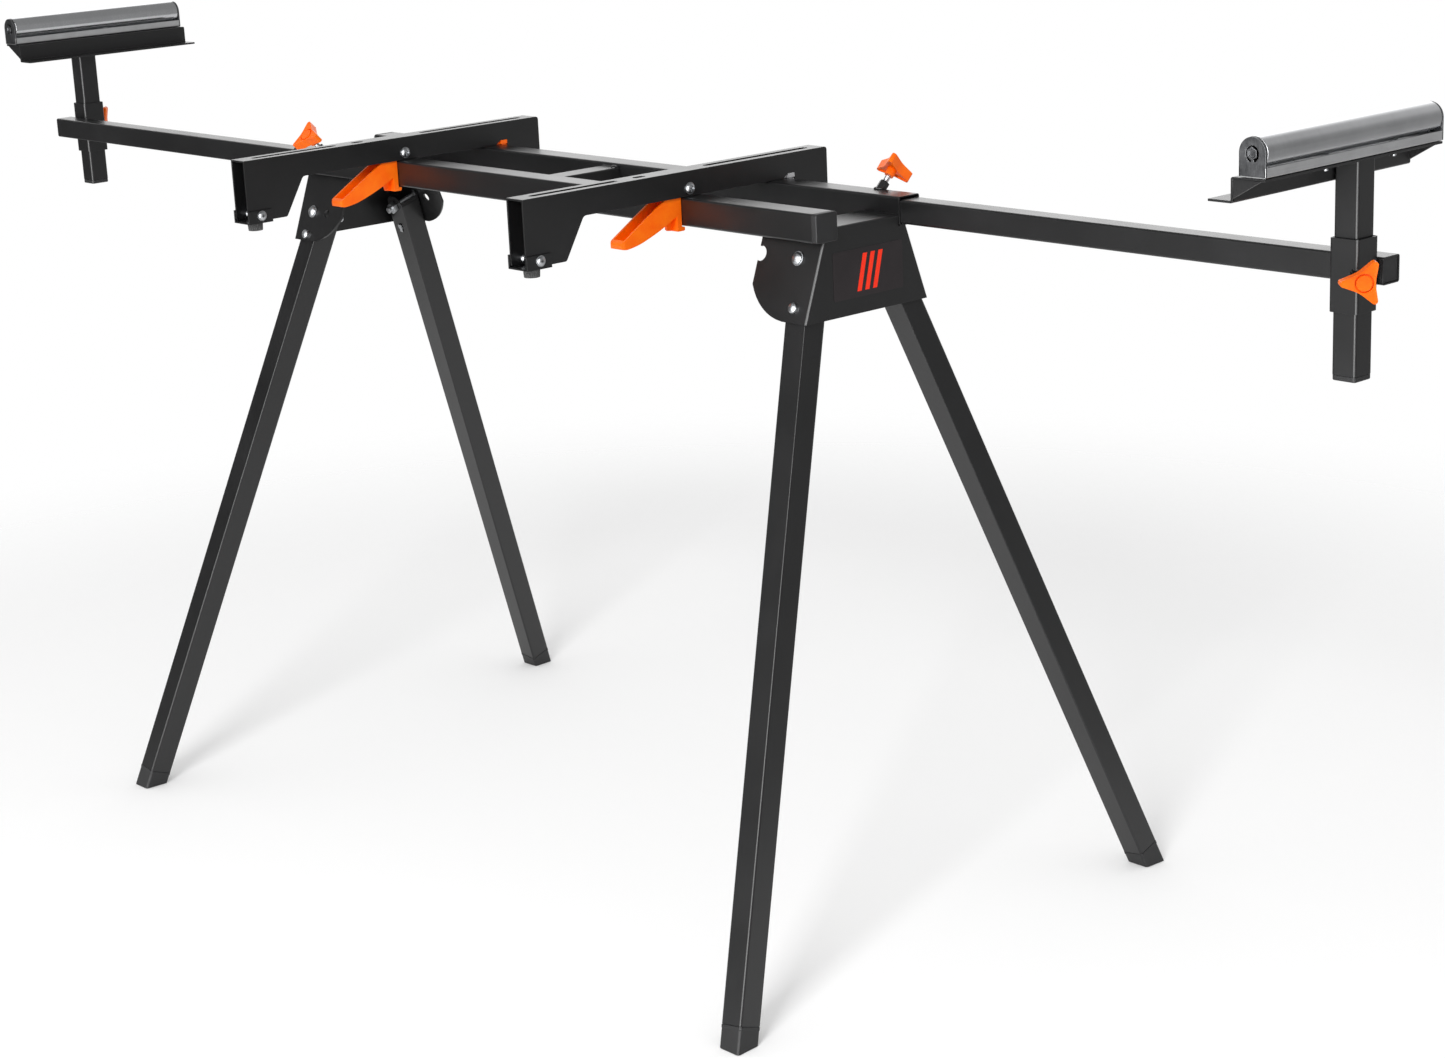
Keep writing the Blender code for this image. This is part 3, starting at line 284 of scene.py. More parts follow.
def traced(name: str, outline: Outline, plane: Plane, low: float, high: float) -> Piece:
    """Draws a closed outline point by point, fills it and extrudes it.

    Args:
        name: The piece's name.
        outline: Corner points, in the plane's two axes.
        plane: The plane that the outline lies in.
        low: Where the extrusion starts along the third axis.
        high: Where it ends.

    Returns:
        The prism, as a new piece.
    """
    across, up, out = (Vector(axis) for axis in plane.value)
    points = [across * a + up * b + out * low for a, b in outline]
    deselect()
    bpy.ops.mesh.primitive_plane_add(size=0.001, location=points[0])
    piece = adopt(name)
    with editing(piece):
        select_all()
        bpy.ops.mesh.merge(type="CENTER")
        for here, there in zip(points, points[1:]):
            extrude(*(there - here))
        select_all()
        bpy.ops.mesh.edge_face_add()
        extrude(*(out * (high - low)))
        select_all()
        bpy.ops.mesh.normals_make_consistent(inside=False)
    return piece


def arc(x: float, y: float, radius: float, start: float, end: float, steps: int) -> list[tuple]:
    """Points along an arc about (x, y), with its angles in degrees."""
    angles = (math.radians(start + (end - start) * i / steps) for i in range(steps + 1))
    return [(x + radius * math.cos(a), y + radius * math.sin(a)) for a in angles]


def filleted(corners: Sequence[tuple[float, float, float]], steps: int = 6) -> Outline:
    """Outline through corners given as (x, y, radius), each rounded to its radius.

    Args:
        corners: Corner points, each with its radius.
        steps: Steps along each round.

    Returns:
        The outline's points.
    """
    made: list[tuple[float, float]] = []
    for index, (x, y, radius) in enumerate(corners):
        here = Vector((x, y))
        back = (Vector(corners[index - 1][:2]) - here).normalized()
        ahead = (Vector(corners[(index + 1) % len(corners)][:2]) - here).normalized()
        half = back.angle(ahead) / 2
        centre = here + (back + ahead).normalized() * radius / math.sin(half)
        first = here + back * radius / math.tan(half) - centre
        last = here + ahead * radius / math.tan(half) - centre
        start = math.atan2(first.y, first.x)
        turn = (math.atan2(last.y, last.x) - start + math.pi) % math.tau - math.pi
        made += arc(centre.x, centre.y, radius, math.degrees(start),
                    math.degrees(start + turn), steps)
    return made


def modify(piece: Piece, kind: str, **settings) -> Piece:
    """Adds a modifier with its settings and applies it.

    Args:
        piece: The piece.
        kind: The modifier's type.
        **settings: The modifier's settings, by name.

    Returns:
        The same piece.
    """
    activate(piece)
    modifier = piece.modifiers.new(kind.lower(), kind)
    for key, value in settings.items():
        setattr(modifier, key, value)
    bpy.ops.object.modifier_apply(modifier=modifier.name)
    return piece


def carve(piece: Piece, *cutters: Piece) -> Piece:
    """Cuts each cutter out of the piece and removes it.

    Args:
        piece: The piece that is cut.
        *cutters: The pieces that cut it.

    Returns:
        The piece that was cut.
    """
    for cutter in cutters:
        modify(piece, "BOOLEAN", operation="DIFFERENCE", solver="EXACT", object=cutter)
        bpy.data.objects.remove(cutter, do_unlink=True)
    return piece


def soften(piece: Piece, width: float, segments: int = 2, angle: float = 35.0) -> Piece:
    """Rounds the sharp edges and shades the rest smooth, with flat faces kept flat.

    Args:
        piece: The piece.
        width: Width of the rounding, or 0 to shade alone.
        segments: Faces across the rounding.
        angle: Least angle of an edge that is rounded, in degrees.

    Returns:
        The same piece.
    """
    if width > 0.0:
        modify(piece, "BEVEL", width=width, segments=segments, limit_method="ANGLE",
               angle_limit=math.radians(angle), use_clamp_overlap=True)
    activate(piece)
    bpy.ops.object.shade_smooth_by_angle(angle=math.radians(40.0))
    return modify(piece, "WEIGHTED_NORMAL", keep_sharp=True)


def place(piece: Piece, matrix: Matrix) -> Piece:
    """Moves the piece's mesh by a matrix and leaves its object at the origin.

    Args:
        piece: The piece.
        matrix: Where its mesh goes.

    Returns:
        The same piece.
    """
    activate(piece)
    piece.matrix_world = matrix
    bpy.ops.object.transform_apply(location=True, rotation=True, scale=True)
    return piece


def joined(name: str, *pieces: Piece) -> Piece:
    """Joins pieces into one object.

    Args:
        name: Name of the joined piece.
        *pieces: The pieces to join.

    Returns:
        The one piece that is left.
    """
    activate(pieces[0])
    for piece in pieces[1:]:
        piece.select_set(True)
    bpy.ops.object.join()
    bpy.context.object.name = bpy.context.object.data.name = name
    return bpy.context.object


def twin(piece: Piece, name: str, matrix: Matrix) -> Piece:
    """Copies a piece, with a mesh of its own, to where the matrix takes it.

    Args:
        piece: The piece to copy.
        name: Name of the copy.
        matrix: Where the copy goes.

    Returns:
        The copy.
    """
    copy = bpy.data.objects.new(name, piece.data.copy())
    copy.data.name = name
    bpy.context.scene.collection.objects.link(copy)
    return place(copy, matrix)


def on_side(piece: Piece, side: "Side", matrix: Matrix) -> Piece:
    """The right side's piece itself, or its copy for the left side.

    Args:
        piece: The right side's piece.
        side: The side that it is for.
        matrix: Takes the right side's piece to the left side.

    Returns:
        The piece of that side.
    """
    if side is Side.RIGHT:
        return piece
    return twin(piece, piece.name.replace("right", "left"), matrix)


def middle_of(node: str) -> tuple[Vector, Vector, Vector]:
    """Low corner, high corner and middle of a node of the frame."""
    low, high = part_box(node)
    return low, high, (low + high) / 2


def refined(node: str, name: str, width: float = 0.0005, segments: int = 2) -> Piece:
    """Copies a node of the frame as one clean mesh and rounds its edges.

    Args:
        node: The frame's node.
        name: The new piece's name.
        width: Width of the rounding.
        segments: Faces across the rounding.

    Returns:
        The new piece.
    """
    piece = bpy.data.objects.new(name, frame["nodes"][node].data.copy())
    bpy.context.scene.collection.objects.link(piece)
    with editing(piece):
        bpy.ops.mesh.customdata_custom_splitnormals_clear()
        select_all()
        bpy.ops.mesh.remove_doubles(threshold=0.00001)
        bpy.ops.mesh.dissolve_limited(angle_limit=math.radians(0.5))
    return soften(piece, width, segments)


def turned_to(direction: Sequence[float]) -> Matrix:
    """Matrix that turns +Z to the given direction."""
    return Vector(direction).to_track_quat("Z", "Y").to_matrix().to_4x4()


def at(spot: Sequence[float], direction: Sequence[float]) -> Matrix:
    """Matrix that takes the origin to the spot and +Z to the direction."""
    return Matrix.Translation(spot) @ turned_to(direction)


@dataclass(frozen=True)
class Joint:
    """A joint's point and axis in the frame."""

    point: Vector
    axis: Vector

    @property
    def matrix(self) -> Matrix:
        """Frame whose origin is the joint's point and whose +Z is its axis."""
        return at(self.point, self.axis)


def joint(name: str) -> Joint:
    """The joint of that name."""
    found = next(item for item in frame["joints"] if item["name"] == name)
    return Joint(Vector(found.get("pos_m", (0, 0, 0))), Vector(found["axis"]).normalized())


class Side(Enum):
    """Side of the stand, by the sign of its X."""

    RIGHT = 1
    LEFT = -1

    @property
    def label(self) -> str:
        """Word that the side's pieces start with."""
        return self.name.lower()

    @property
    def turn(self) -> Matrix:
        """Takes what is built for the right arm to this side."""
        return Matrix.Rotation(0.0 if self is Side.RIGHT else math.pi, 4, "Z")

    def lift(self, part: str) -> Matrix:
        """The side's turn, with the height at which it carries the part."""
        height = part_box(f"{self.label}_{part}")[0].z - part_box(f"right_{part}")[0].z
        return Matrix.Translation((0, 0, height)) @ self.turn


# Finishes


def linear(code: str) -> tuple[float, float, float, float]:
    """Turns an sRGB hex colour into linear RGBA.

    Args:
        code: The colour, as # and six hex digits.

    Returns:
        Red, green, blue and alpha, in linear light.
    """
    parts = [int(code[i:i + 2], 16) / 255 for i in (1, 3, 5)]
    r, g, b = (p / 12.92 if p <= 0.04045 else ((p + 0.055) / 1.055) ** 2.4 for p in parts)
    return (r, g, b, 1.0)


def feed(tree: bpy.types.NodeTree, node: bpy.types.Node, inputs: dict) -> None:
    """Gives each named input of a node a value, or links it to a socket or a node's first one.

    Args:
        tree: The node tree.
        node: The node that gets the inputs.
        inputs: Values, sockets or nodes, by the input's name.
    """
    for key, value in inputs.items():
        if isinstance(value, bpy.types.Node):
            value = value.outputs[0]
        if isinstance(value, bpy.types.NodeSocket):
            tree.links.new(value, node.inputs[key])
        else:
            node.inputs[key].default_value = value


def add_node(tree: bpy.types.NodeTree, kind: str, inputs: dict | None = None,
             **settings) -> bpy.types.Node:
    """Adds a shader node with its settings and its inputs.

    Args:
        tree: The node tree.
        kind: The node's type, without its prefix.
        inputs: Values, sockets or nodes, by the input's name.
        **settings: The node's own settings, by name.

    Returns:
        The node.
    """
    node = tree.nodes.new(f"ShaderNode{kind}")
    for key, value in settings.items():
        setattr(node, key, value)
    feed(tree, node, inputs or {})
    return node


def add_ramp(tree: bpy.types.NodeTree, factor: bpy.types.Node, dark: str, light: str,
             start: float = 0.0) -> bpy.types.Node:
    """Adds a ramp between two sRGB colours, from the start to 1.

    Args:
        tree: The node tree.
        factor: The node whose first output drives the ramp.
        dark: Colour at the start.
        light: Colour at 1.
        start: Where the ramp starts.

    Returns:
        The ramp.
    """
    ramp = add_node(tree, "ValToRGB", {"Fac": factor})
    first, last = ramp.color_ramp.elements
    first.position, first.color, last.color = start, linear(dark), linear(light)
    return ramp


@dataclass(frozen=True)
class Finish:
    """A surface: its colours, its gloss and the texture that its making left.

    Sizes are in millimetres: grain is the fine texture, patch the slow change of colour and gloss.
    The name must differ from the frame's own materials.
    """

    name: str
    slot: str
    dark: str
    light: str
    metallic: float = 0.0
    gloss: tuple[float, float] = (0.4, 0.5)
    grain: float = 1.0
    depth: float = 0.02
    patch: float = 60.0
    stretch: tuple[float, float, float] = (1.0, 1.0, 1.0)
    coat: float = 0.0
    coat_roughness: float = 0.2
    ior: float = 1.5

    def material(self) -> bpy.types.Material:
        """The finish's material, made once."""
        return bpy.data.materials.get(self.name) or self.make()

    def make(self) -> bpy.types.Material:
        """Builds the nodes: patches drive colour and roughness, the grain drives the bump.

        Returns:
            The material.
        """
        made = bpy.data.materials.new(self.name)
        made.use_nodes = True
        tree = made.node_tree
        where = add_node(tree, "TexCoord").outputs["Object"]
        drawn = add_node(tree, "Mapping", {"Vector": where, "Scale": self.stretch})
        patches = add_node(tree, "TexNoise", {
            "Vector": where, "Scale": 1000 / self.patch, "Detail": 3.0, "Roughness": 0.6})
        grain = add_node(tree, "TexNoise", {
            "Vector": drawn, "Scale": 1000 / self.grain, "Detail": 2.0, "Roughness": 0.5})
        blend = add_node(tree, "Math", {0: grain, 1: 0.5, 2: patches}, operation="MULTIPLY_ADD")
        gloss = add_node(tree, "MapRange", {
            "Value": blend, "From Min": 0.5, "From Max": 1.0,
            "To Min": self.gloss[0], "To Max": self.gloss[1]})
        bump = add_node(tree, "Bump", {
            "Height": grain, "Distance": self.depth / 1000, "Strength": 1.0})
        feed(tree, tree.nodes["Principled BSDF"], {
            "Base Color": add_ramp(tree, blend, self.dark, self.light, 0.5),
            "Roughness": gloss, "Normal": bump, "Metallic": self.metallic, "IOR": self.ior,
            "Coat Weight": self.coat, "Coat Roughness": self.coat_roughness})
        made.diffuse_color = linear(self.light)
        return made


# Satin black polyester powder, baked: faint orange peel, and a sheen on faces that the eye grazes.
POWDER = Finish("satin_black_powder", "black_powder_coat", "#0A0A0B", "#101011",
                gloss=(0.34, 0.42), grain=1.4, depth=0.02, patch=90.0, coat=0.3,
                coat_roughness=0.22)
# Injection-moulded polypropylene: dull black with a fine spark-eroded grain.
BLACK_PLASTIC = Finish("moulded_black_polypropylene", "black_plastic", "#19191A", "#232324",
                       gloss=(0.45, 0.58), grain=0.8, depth=0.03, patch=30.0)
# Glass-filled nylon, moulded: strong orange, slightly clouded where the plastic flowed.
ORANGE_PLASTIC = Finish("moulded_orange_nylon", "orange_plastic", "#FA5E00", "#FF7602",
                        gloss=(0.36, 0.46), grain=0.9, depth=0.012, patch=22.0, ior=1.33)
# Bright zinc plate on steel fasteners: blue-white with a soft tumbled sparkle.
ZINC = Finish("bright_zinc_plate", "zinc_plate", "#A9ABAE", "#CDCFD1", metallic=1.0,
              gloss=(0.30, 0.42), grain=0.7, depth=0.03, patch=6.0)
# Cold-rolled galvanised sheet, folded: pale grey with rolling lines along its length.
GALVANISED = Finish("rolled_galvanised_sheet", "galvanised_sheet", "#D2D3D4", "#E4E5E6",
                    metallic=1.0, gloss=(0.30, 0.38), grain=0.9, depth=0.02, patch=25.0,
                    stretch=(1.0, 0.03, 1.0))
# Galvanised sheet of the tray's ears, punched: a darker grey than the tray, painted shade for the
# dim light that they reflect, with short vertical streaks.
PLATE_STEEL = Finish("pickled_steel_plate", "galvanised_sheet", "#5E5F61", "#7C7D7F", metallic=1.0,
                     gloss=(0.30, 0.40), grain=0.9, depth=0.03, patch=9.0,
                     stretch=(1.0, 1.0, 0.12))
# Turned steel bar, oiled: dark grey.
OILED_STEEL = Finish("oiled_steel_bar", "zinc_plate", "#5E5F61", "#7C7D7F", metallic=1.0,
                     gloss=(0.30, 0.42), grain=0.8, depth=0.03, patch=6.0)
# Drawn steel tube, polished on the lathe: bright, with fine rings round the roller.
ROLLER_STEEL = Finish("polished_steel_tube", "roller_steel", "#C6C7C9", "#D0D1D3", metallic=1.0,
                      gloss=(0.17, 0.22), grain=0.8, depth=0.0008, patch=45.0,
                      stretch=(0.02, 1.0, 0.02))
# Pale grey plastic on the right rear hook, where the left hook is orange: slightly cloudy.
GREY_PLASTIC = Finish("natural_grey_nylon", "orange_plastic", "#9A9A9C", "#AFAFB1",
                      gloss=(0.40, 0.50), grain=1.0, depth=0.01, patch=12.0)
# Moulded nitrile rubber: matt dark grey with a dry bloom.
RUBBER = Finish("moulded_black_rubber", "black_rubber", "#3C3C3C", "#545454",
                gloss=(0.60, 0.72), grain=0.6, depth=0.03, patch=12.0)
# Printed vinyl film: near-black with a trace of red, glossier than the paint under it.
DARK_FILM = Finish("printed_dark_vinyl", "black_plastic", "#1E191B", "#262022",
                   gloss=(0.30, 0.36), grain=1.2, depth=0.004, patch=40.0)
# Screen-printed orange ink on the same film.
ORANGE_FILM = Finish("printed_orange_vinyl", "orange_plastic", "#FA2600", "#FF3400",
                     gloss=(0.40, 0.48), grain=1.2, depth=0.004, patch=15.0, ior=1.40)


def dress(piece: Piece, body: str, finish: Finish, *nodes: str) -> Piece:
    """Gives a piece its finish and its body, and hides the nodes of the frame that it replaces.

    Args:
        piece: The finished piece.
        body: The body that carries it.
        finish: Its surface.
        nodes: Nodes of the frame that it replaces.

    Returns:
        The same piece.
    """
    piece.data.materials.clear()
    piece.data.materials.append(finish.material())
    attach(piece, body)
    if nodes:
        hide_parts(*nodes)
    LOG.info("%s on %s, %d faces", piece.name, body, len(piece.data.polygons))
    return piece


# Shared stock and fasteners


@dataclass(frozen=True)
class SquareTube:
    """Square steel tube with rolled corners."""

    side: float
    wall: float = 0.0015
    rounding: float = 0.0026
    steps: int = 5
    burr: float = 0.0003

    def cut(self, name: str, start: Sequence[float], end: Sequence[float]) -> Piece:
        """Cuts a length, open at both ends.

        Args:
            name: The piece's name.
            start: Middle of the first end.
            end: Middle of the other end.

        Returns:
            The tube, with its burred ends rounded.
        """
        start, run = Vector(start), Vector(end) - Vector(start)
        half = self.side / 2
        tube = round_edges(block(name, (-half, -half, 0), (half, half, run.length)),
                           rising(self.side), self.rounding, self.steps)
        soften(open_ends(tube, along(z=1), self.wall), self.burr, 2, 50.0)
        return place(tube, at(start, run))


@dataclass(frozen=True)
class EndCap:
    """Plastic cap pushed into a tube's end, drawn from z = 0 outwards."""

    side: float
    height: float
    rounding: float = 0.003
    rim: float = 0.0012
    lip: float = 0.0022
    plug: float = 0.012

    def make(self, name: str) -> Piece:
        """Moulds the cap: a lip outside with a soft rim, and a plug inside.

        Args:
            name: Name of the new piece.

        Returns:
            The cap.
        """
        half = self.side / 2
        cap = block(name, (-half, -half, GAP), (half, half, self.height))
        round_edges(cap, rising(self.height / 2), self.rounding, 5)
        round_edges(cap, lambda a, b: min(a.z, b.z) > self.height - 1e-5, self.rim, 3)
        with editing(cap):
            pick_faces(cap, toward(z=-1))
            bpy.ops.mesh.inset(thickness=self.lip)
            extrude(0, 0, -self.plug)
        return soften(cap, 0.0)


def dome(name: str, radius: float, height: float, base: float) -> Piece:
    """Adds the upper half of a flattened ball, standing on z = base.

    Args:
        name: Name of the new piece.
        radius: Radius of its foot.
        height: Height of the dome.
        base: Height that it stands on.

    Returns:
        The dome.
    """
    deselect()
    bpy.ops.mesh.primitive_uv_sphere_add(segments=32, ring_count=16, radius=1.0,
                                         location=(0, 0, base), scale=(radius, radius, height))
    cap = adopt(name)
    with editing(cap):
        select_all()
        bpy.ops.mesh.bisect(plane_co=(0, 0, base), plane_no=(0, 0, 1), use_fill=True,
                            clear_inner=True)
    return cap


@dataclass(frozen=True)
class Bolt:
    """Bolt along Z through z = 0: a domed head above, and a nut below at the grip's end."""

    shank: float
    head: float
    height: float
    grip: float
    flats: float
    nut: float
    proud: float = 0.004
    cross: float = 0.0

    def make(self, name: str) -> Piece:
        """Makes the head with its collar, the shank, and the nut with the thread's end.

        Args:
            name: Name of the new piece.

        Returns:
            The bolt with its nut, as one piece.
        """
        collar = 0.001
        washer = soften(round_bar("washer", self.head + 0.001, 0.0, collar), 0.0003)
        top = dome("top", self.head, self.height - collar, collar)
        if self.cross > 0.0:
            depth, thin = self.height * 0.45, self.cross * 0.14
            for reach in ((self.cross / 2, thin), (thin, self.cross / 2)):
                carve(top, block("recess", (-reach[0], -reach[1], depth),
                                 (reach[0], reach[1], self.height + 0.01)))
        soften(top, 0.0)
        end = -self.grip - self.nut - self.proud
        shank = soften(round_bar("shank", self.shank, end, 0.0005, 24), 0.0006)
        nut = round_bar("nut", self.flats / math.sqrt(3), -self.grip - self.nut, -self.grip, 6)
        return joined(name, washer, top, shank, soften(nut, 0.0007))


@dataclass(frozen=True)
class CornerNut:
    """Nut welded on a tube's corner edge, about the clamp screw's axis."""

    radius: float = 0.0058
    height: float = 0.008
    sink: float = 0.004
    bore: float = 0.0034
    bead: float = 0.0013
    ripple: float = 0.0003

    def make(self, name: str) -> Piece:
        """Makes the nut with its bore, and the weld's bead draped over the tube's corner.

        Args:
            name: Name of the new piece.

        Returns:
            The nut with its weld, as one piece.
        """
        nut = round_bar("nut", self.radius, -self.sink, self.height, 6)
        carve(nut, round_bar("bore", self.bore, -0.02, 0.02, 24))
        soften(nut, 0.0005, 2)
        deselect()
        bpy.ops.mesh.primitive_torus_add(
            major_segments=48, minor_segments=10, major_radius=self.radius,
            minor_radius=self.bead, location=(0, 0, 0))

        def draped(spot: Vector) -> tuple:
            angle = math.atan2(spot.y, spot.x)
            drop = abs(math.sin(angle)) * self.radius * 0.85 - 0.0004
            return spot.x, spot.y, spot.z - drop + self.ripple * math.sin(14 * angle)

        return joined(name, nut, soften(reshape(adopt("bead"), draped), 0.0))


@dataclass(frozen=True)
class ClampKnob:
    """Three-cornered clamp knob and its screw, about the screw's axis."""

    standoff: float = 0.0165
    hub: float = 0.006
    hub_radius: float = 0.006
    thick: float = 0.011
    corner: float = 0.0260
    corner_round: float = 0.0028
    valley: float = 0.0093
    valley_round: float = 0.030
    screw: float = 0.003
    depth: float = 0.0034
    disc: float = 0.0070
    groove: tuple[float, float] = (0.0013, 0.0032)
    thread: float = 0.001

    def outline(self, phase: float) -> Outline:
        """Outline with round corners and hollow sides; one corner is at the phase, in degrees.

        Args:
            phase: Bearing of one of the knob's corners, in degrees.

        Returns:
            The outline's points.
        """
        corners = []
        for lobe in range(3):
            for turn, reach, radius in ((0, self.corner, self.corner_round),
                                        (60, self.valley, self.valley_round)):
                angle = math.radians(phase + 120 * lobe + turn)
                corners.append((reach * math.cos(angle), reach * math.sin(angle), radius))
        return filleted(corners, 8)

    def make(self, name: str, phase: float) -> Piece:
        """Moulds the knob: soft edges, a dished face with a round cap, and a hub below.

        Args:
            name: Name of the new piece.
            phase: Bearing of one of the knob's corners, in degrees.

        Returns:
            The knob, as one piece.
        """
        low = self.standoff + self.hub
        top = low + self.thick
        knob = traced("grip", self.outline(phase), Plane.XY, low, top)
        with editing(knob):
            pick_faces(knob, toward(z=1))
            bpy.ops.mesh.inset(thickness=0.0020)
            bpy.ops.transform.translate(value=(0, 0, -0.0006))
            pick_faces(knob, toward(z=-1))
            bpy.ops.mesh.inset(thickness=0.0016)
            extrude(0, 0, 0.0012)
        width, depth = self.groove
        carve(knob, round_bar("groove", self.disc + width, top - depth, top + THROUGH, 48))
        soften(knob, 0.0008, 3, 25.0)
        cap = soften(round_bar("cap", self.disc, top - 0.004, top + 0.0001, 48), 0.0007, 3)
        hub = round_bar("hub", self.hub_radius, self.standoff, top - 0.003, 32)
        with editing(hub):
            pick_faces(hub, toward(z=-1))
            bpy.ops.transform.resize(value=(0.82, 0.82, 1.0))
        soften(hub, 0.0004)
        return joined(name, knob, cap, hub)

    def screw_piece(self, name: str) -> Piece:
        """Turns the screw with its thread's ridges.

        Args:
            name: Name of the new piece.

        Returns:
            The screw, as one piece.
        """
        core = self.screw * 0.86
        rod = round_bar(name, core, -self.depth, self.standoff + 0.004, 24)
        ridges = []
        for step in range(int((self.standoff + self.depth) / self.thread) - 1):
            deselect()
            bpy.ops.mesh.primitive_torus_add(
                major_segments=24, minor_segments=6, major_radius=core, minor_radius=0.0004,
                location=(0, 0, -self.depth + self.thread * (step + 1)))
            ridges.append(adopt("ridge"))
        return soften(joined(name, rod, *ridges), 0.0)


# Sub-assemblies


@dataclass(frozen=True)
class Rails:
    """The two rails, their caps, the cross brace and its screw."""

    tube: SquareTube = SquareTube(0.030)
    cap: EndCap = EndCap(0.030, 0.0065)
    brace_wall: float = 0.0015
    screw_size: tuple[float, float] = (0.0038, 0.0026)
    screw_spot: tuple[float, float] = (0.0045, 0.0042)

    def build(self) -> None:
        """Builds the rear rail and its cap, turns copies into the front ones, adds the brace."""
        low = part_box("rear_rail")[0]
        middle = Vector((0, low.y, low.z)) + Vector((0, 1, 1)) * self.tube.side / 2
        half = Vector((-low.x, 0, 0))
        rail = self.tube.cut("rear_rail_tube", middle - half, middle + half)
        cap = self.cap.make("rear_rail_end_cap")
        place(cap, at(middle - half, (-1, 0, 0)))
        turn = Side.LEFT.turn
        dress(twin(rail, "front_rail_tube", turn), "stand", POWDER, "front_rail")
        dress(twin(cap, "front_rail_end_cap", turn), "stand", BLACK_PLASTIC, "front_rail_cap")
        dress(rail, "stand", POWDER, "rear_rail")
        dress(cap, "stand", BLACK_PLASTIC, "rear_rail_cap")
        self.build_brace()

    def build_brace(self) -> None:
        """Builds the brace between the rails, its welds, and the screw on its top."""
        low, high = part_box("centre_brace")
        brace = round_edges(block("cross_brace", low, high),
                            lambda a, b: abs(a.y - b.y) > 0.05, 0.002, 4)
        open_ends(brace, along(y=1), self.brace_wall)
        dress(soften(brace, 0.0003), "stand", POWDER, "centre_brace")
        for end in (low.y, high.y):
            weld = self.weld(f"brace_weld_{'front' if end < 0 else 'rear'}", low, high, end)
            dress(weld, "stand", POWDER)
        screw = dome("brace_screw", *self.screw_size, high.z)
        place(screw, Matrix.Translation((high.x - self.screw_spot[0],
                                         high.y - self.screw_spot[1], 0)))
        dress(soften(screw, 0.0), "stand", POWDER)

    @staticmethod
    def weld(name: str, low: Vector, high: Vector, end: float) -> Piece:
        """Lays a rippled bead along the brace's top edge where it meets a rail.

        Args:
            name: Name of the new piece.
            low: The brace's low corner.
            high: The brace's high corner.
            end: Y of the brace's end.

        Returns:
            The bead, in its place.
        """
        inset = 0.002
        bead = round_bar(name, 0.0016, 0.0, high.x - low.x - 2 * inset, 12)
        with editing(bead):
            select_all()
            bpy.ops.mesh.subdivide(number_cuts=1)
        modify(bead, "REMESH", mode="VOXEL", voxel_size=0.0006)

        def rippled(spot: Vector) -> tuple:
            swell = 1.0 + 0.16 * math.sin(spot.z * math.tau / 0.0024)
            return spot.x * swell, spot.y * swell, spot.z

        reshape(bead, rippled)
        return soften(place(bead, at((low.x + inset, end, high.z), (1, 0, 0))), 0.0)


@dataclass(frozen=True)
class Clamps:
    """The four clamp knobs with their screws and welded nuts."""

    knob: ClampKnob = ClampKnob()
    nut: CornerNut = CornerNut()

    def build(self) -> None:
        """Builds one of each and copies it to the four clamp axes."""
        nut, screw = self.nut.make("nut_pattern"), self.knob.screw_piece("screw_pattern")
        grips = {phase: self.knob.make("knob_pattern", phase) for phase in (0.0, 180.0)}
        for tube in ("arm", "post"):
            for side in Side:
                grip = grips[180.0 if (tube, side) == ("post", Side.RIGHT) else 0.0]
                spot = joint(f"{side.label}_{tube}_knob_turn").matrix
                name, body = f"{side.label}_{tube}", f"{side.label}_{tube}_clamp"
                dress(twin(grip, f"{name}_clamp_grip", spot), body, ORANGE_PLASTIC,
                      f"{name}_knob")
                dress(twin(screw, f"{name}_clamp_screw", spot), body, ZINC, f"{name}_knob_screw")
                holder = "stand" if tube == "arm" else f"{side.label}_arm"
                dress(twin(nut, f"{name}_welded_nut", spot), holder, POWDER)
        for pattern in (nut, screw, *grips.values()):
            bpy.data.objects.remove(pattern, do_unlink=True)


@dataclass(frozen=True)
class Arms:
    """The two extension arms: tube, end plug and post sleeve."""

    tube: SquareTube = SquareTube(0.025, rounding=0.0024)
    sleeve: SquareTube = SquareTube(0.030)
    plug_recess: float = 0.0008
    plug_depth: float = 0.004

    def build(self) -> None:
        """Builds the right arm and turns a copy of each piece for the left."""
        low, high, (_, y, z) = middle_of("right_extension_arm")
        tube = self.tube.cut("right_arm_tube", (low.x, y, z), (high.x, y, z))
        half = self.tube.side / 2 - self.tube.wall
        plug = block("right_arm_end_plug", (high.x - self.plug_depth, y - half, z - half),
                     (high.x - self.plug_recess, y + half, z + half))
        soften(plug, 0.0008)
        low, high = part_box("right_post_sleeve")
        half = self.sleeve.side / 2
        x, y = low.x + half, high.y - half
        sleeve = self.sleeve.cut("right_sleeve_tube", (x, y, low.z), (x, y, high.z))
        for piece, finish, nodes in ((tube, POWDER, ["extension_arm"]), (plug, BLACK_PLASTIC, []),
                                     (sleeve, POWDER, ["post_sleeve"])):
            for side in (Side.LEFT, Side.RIGHT):
                dress(on_side(piece, side, side.turn), f"{side.label}_arm", finish,
                      *(f"{side.label}_{node}" for node in nodes))


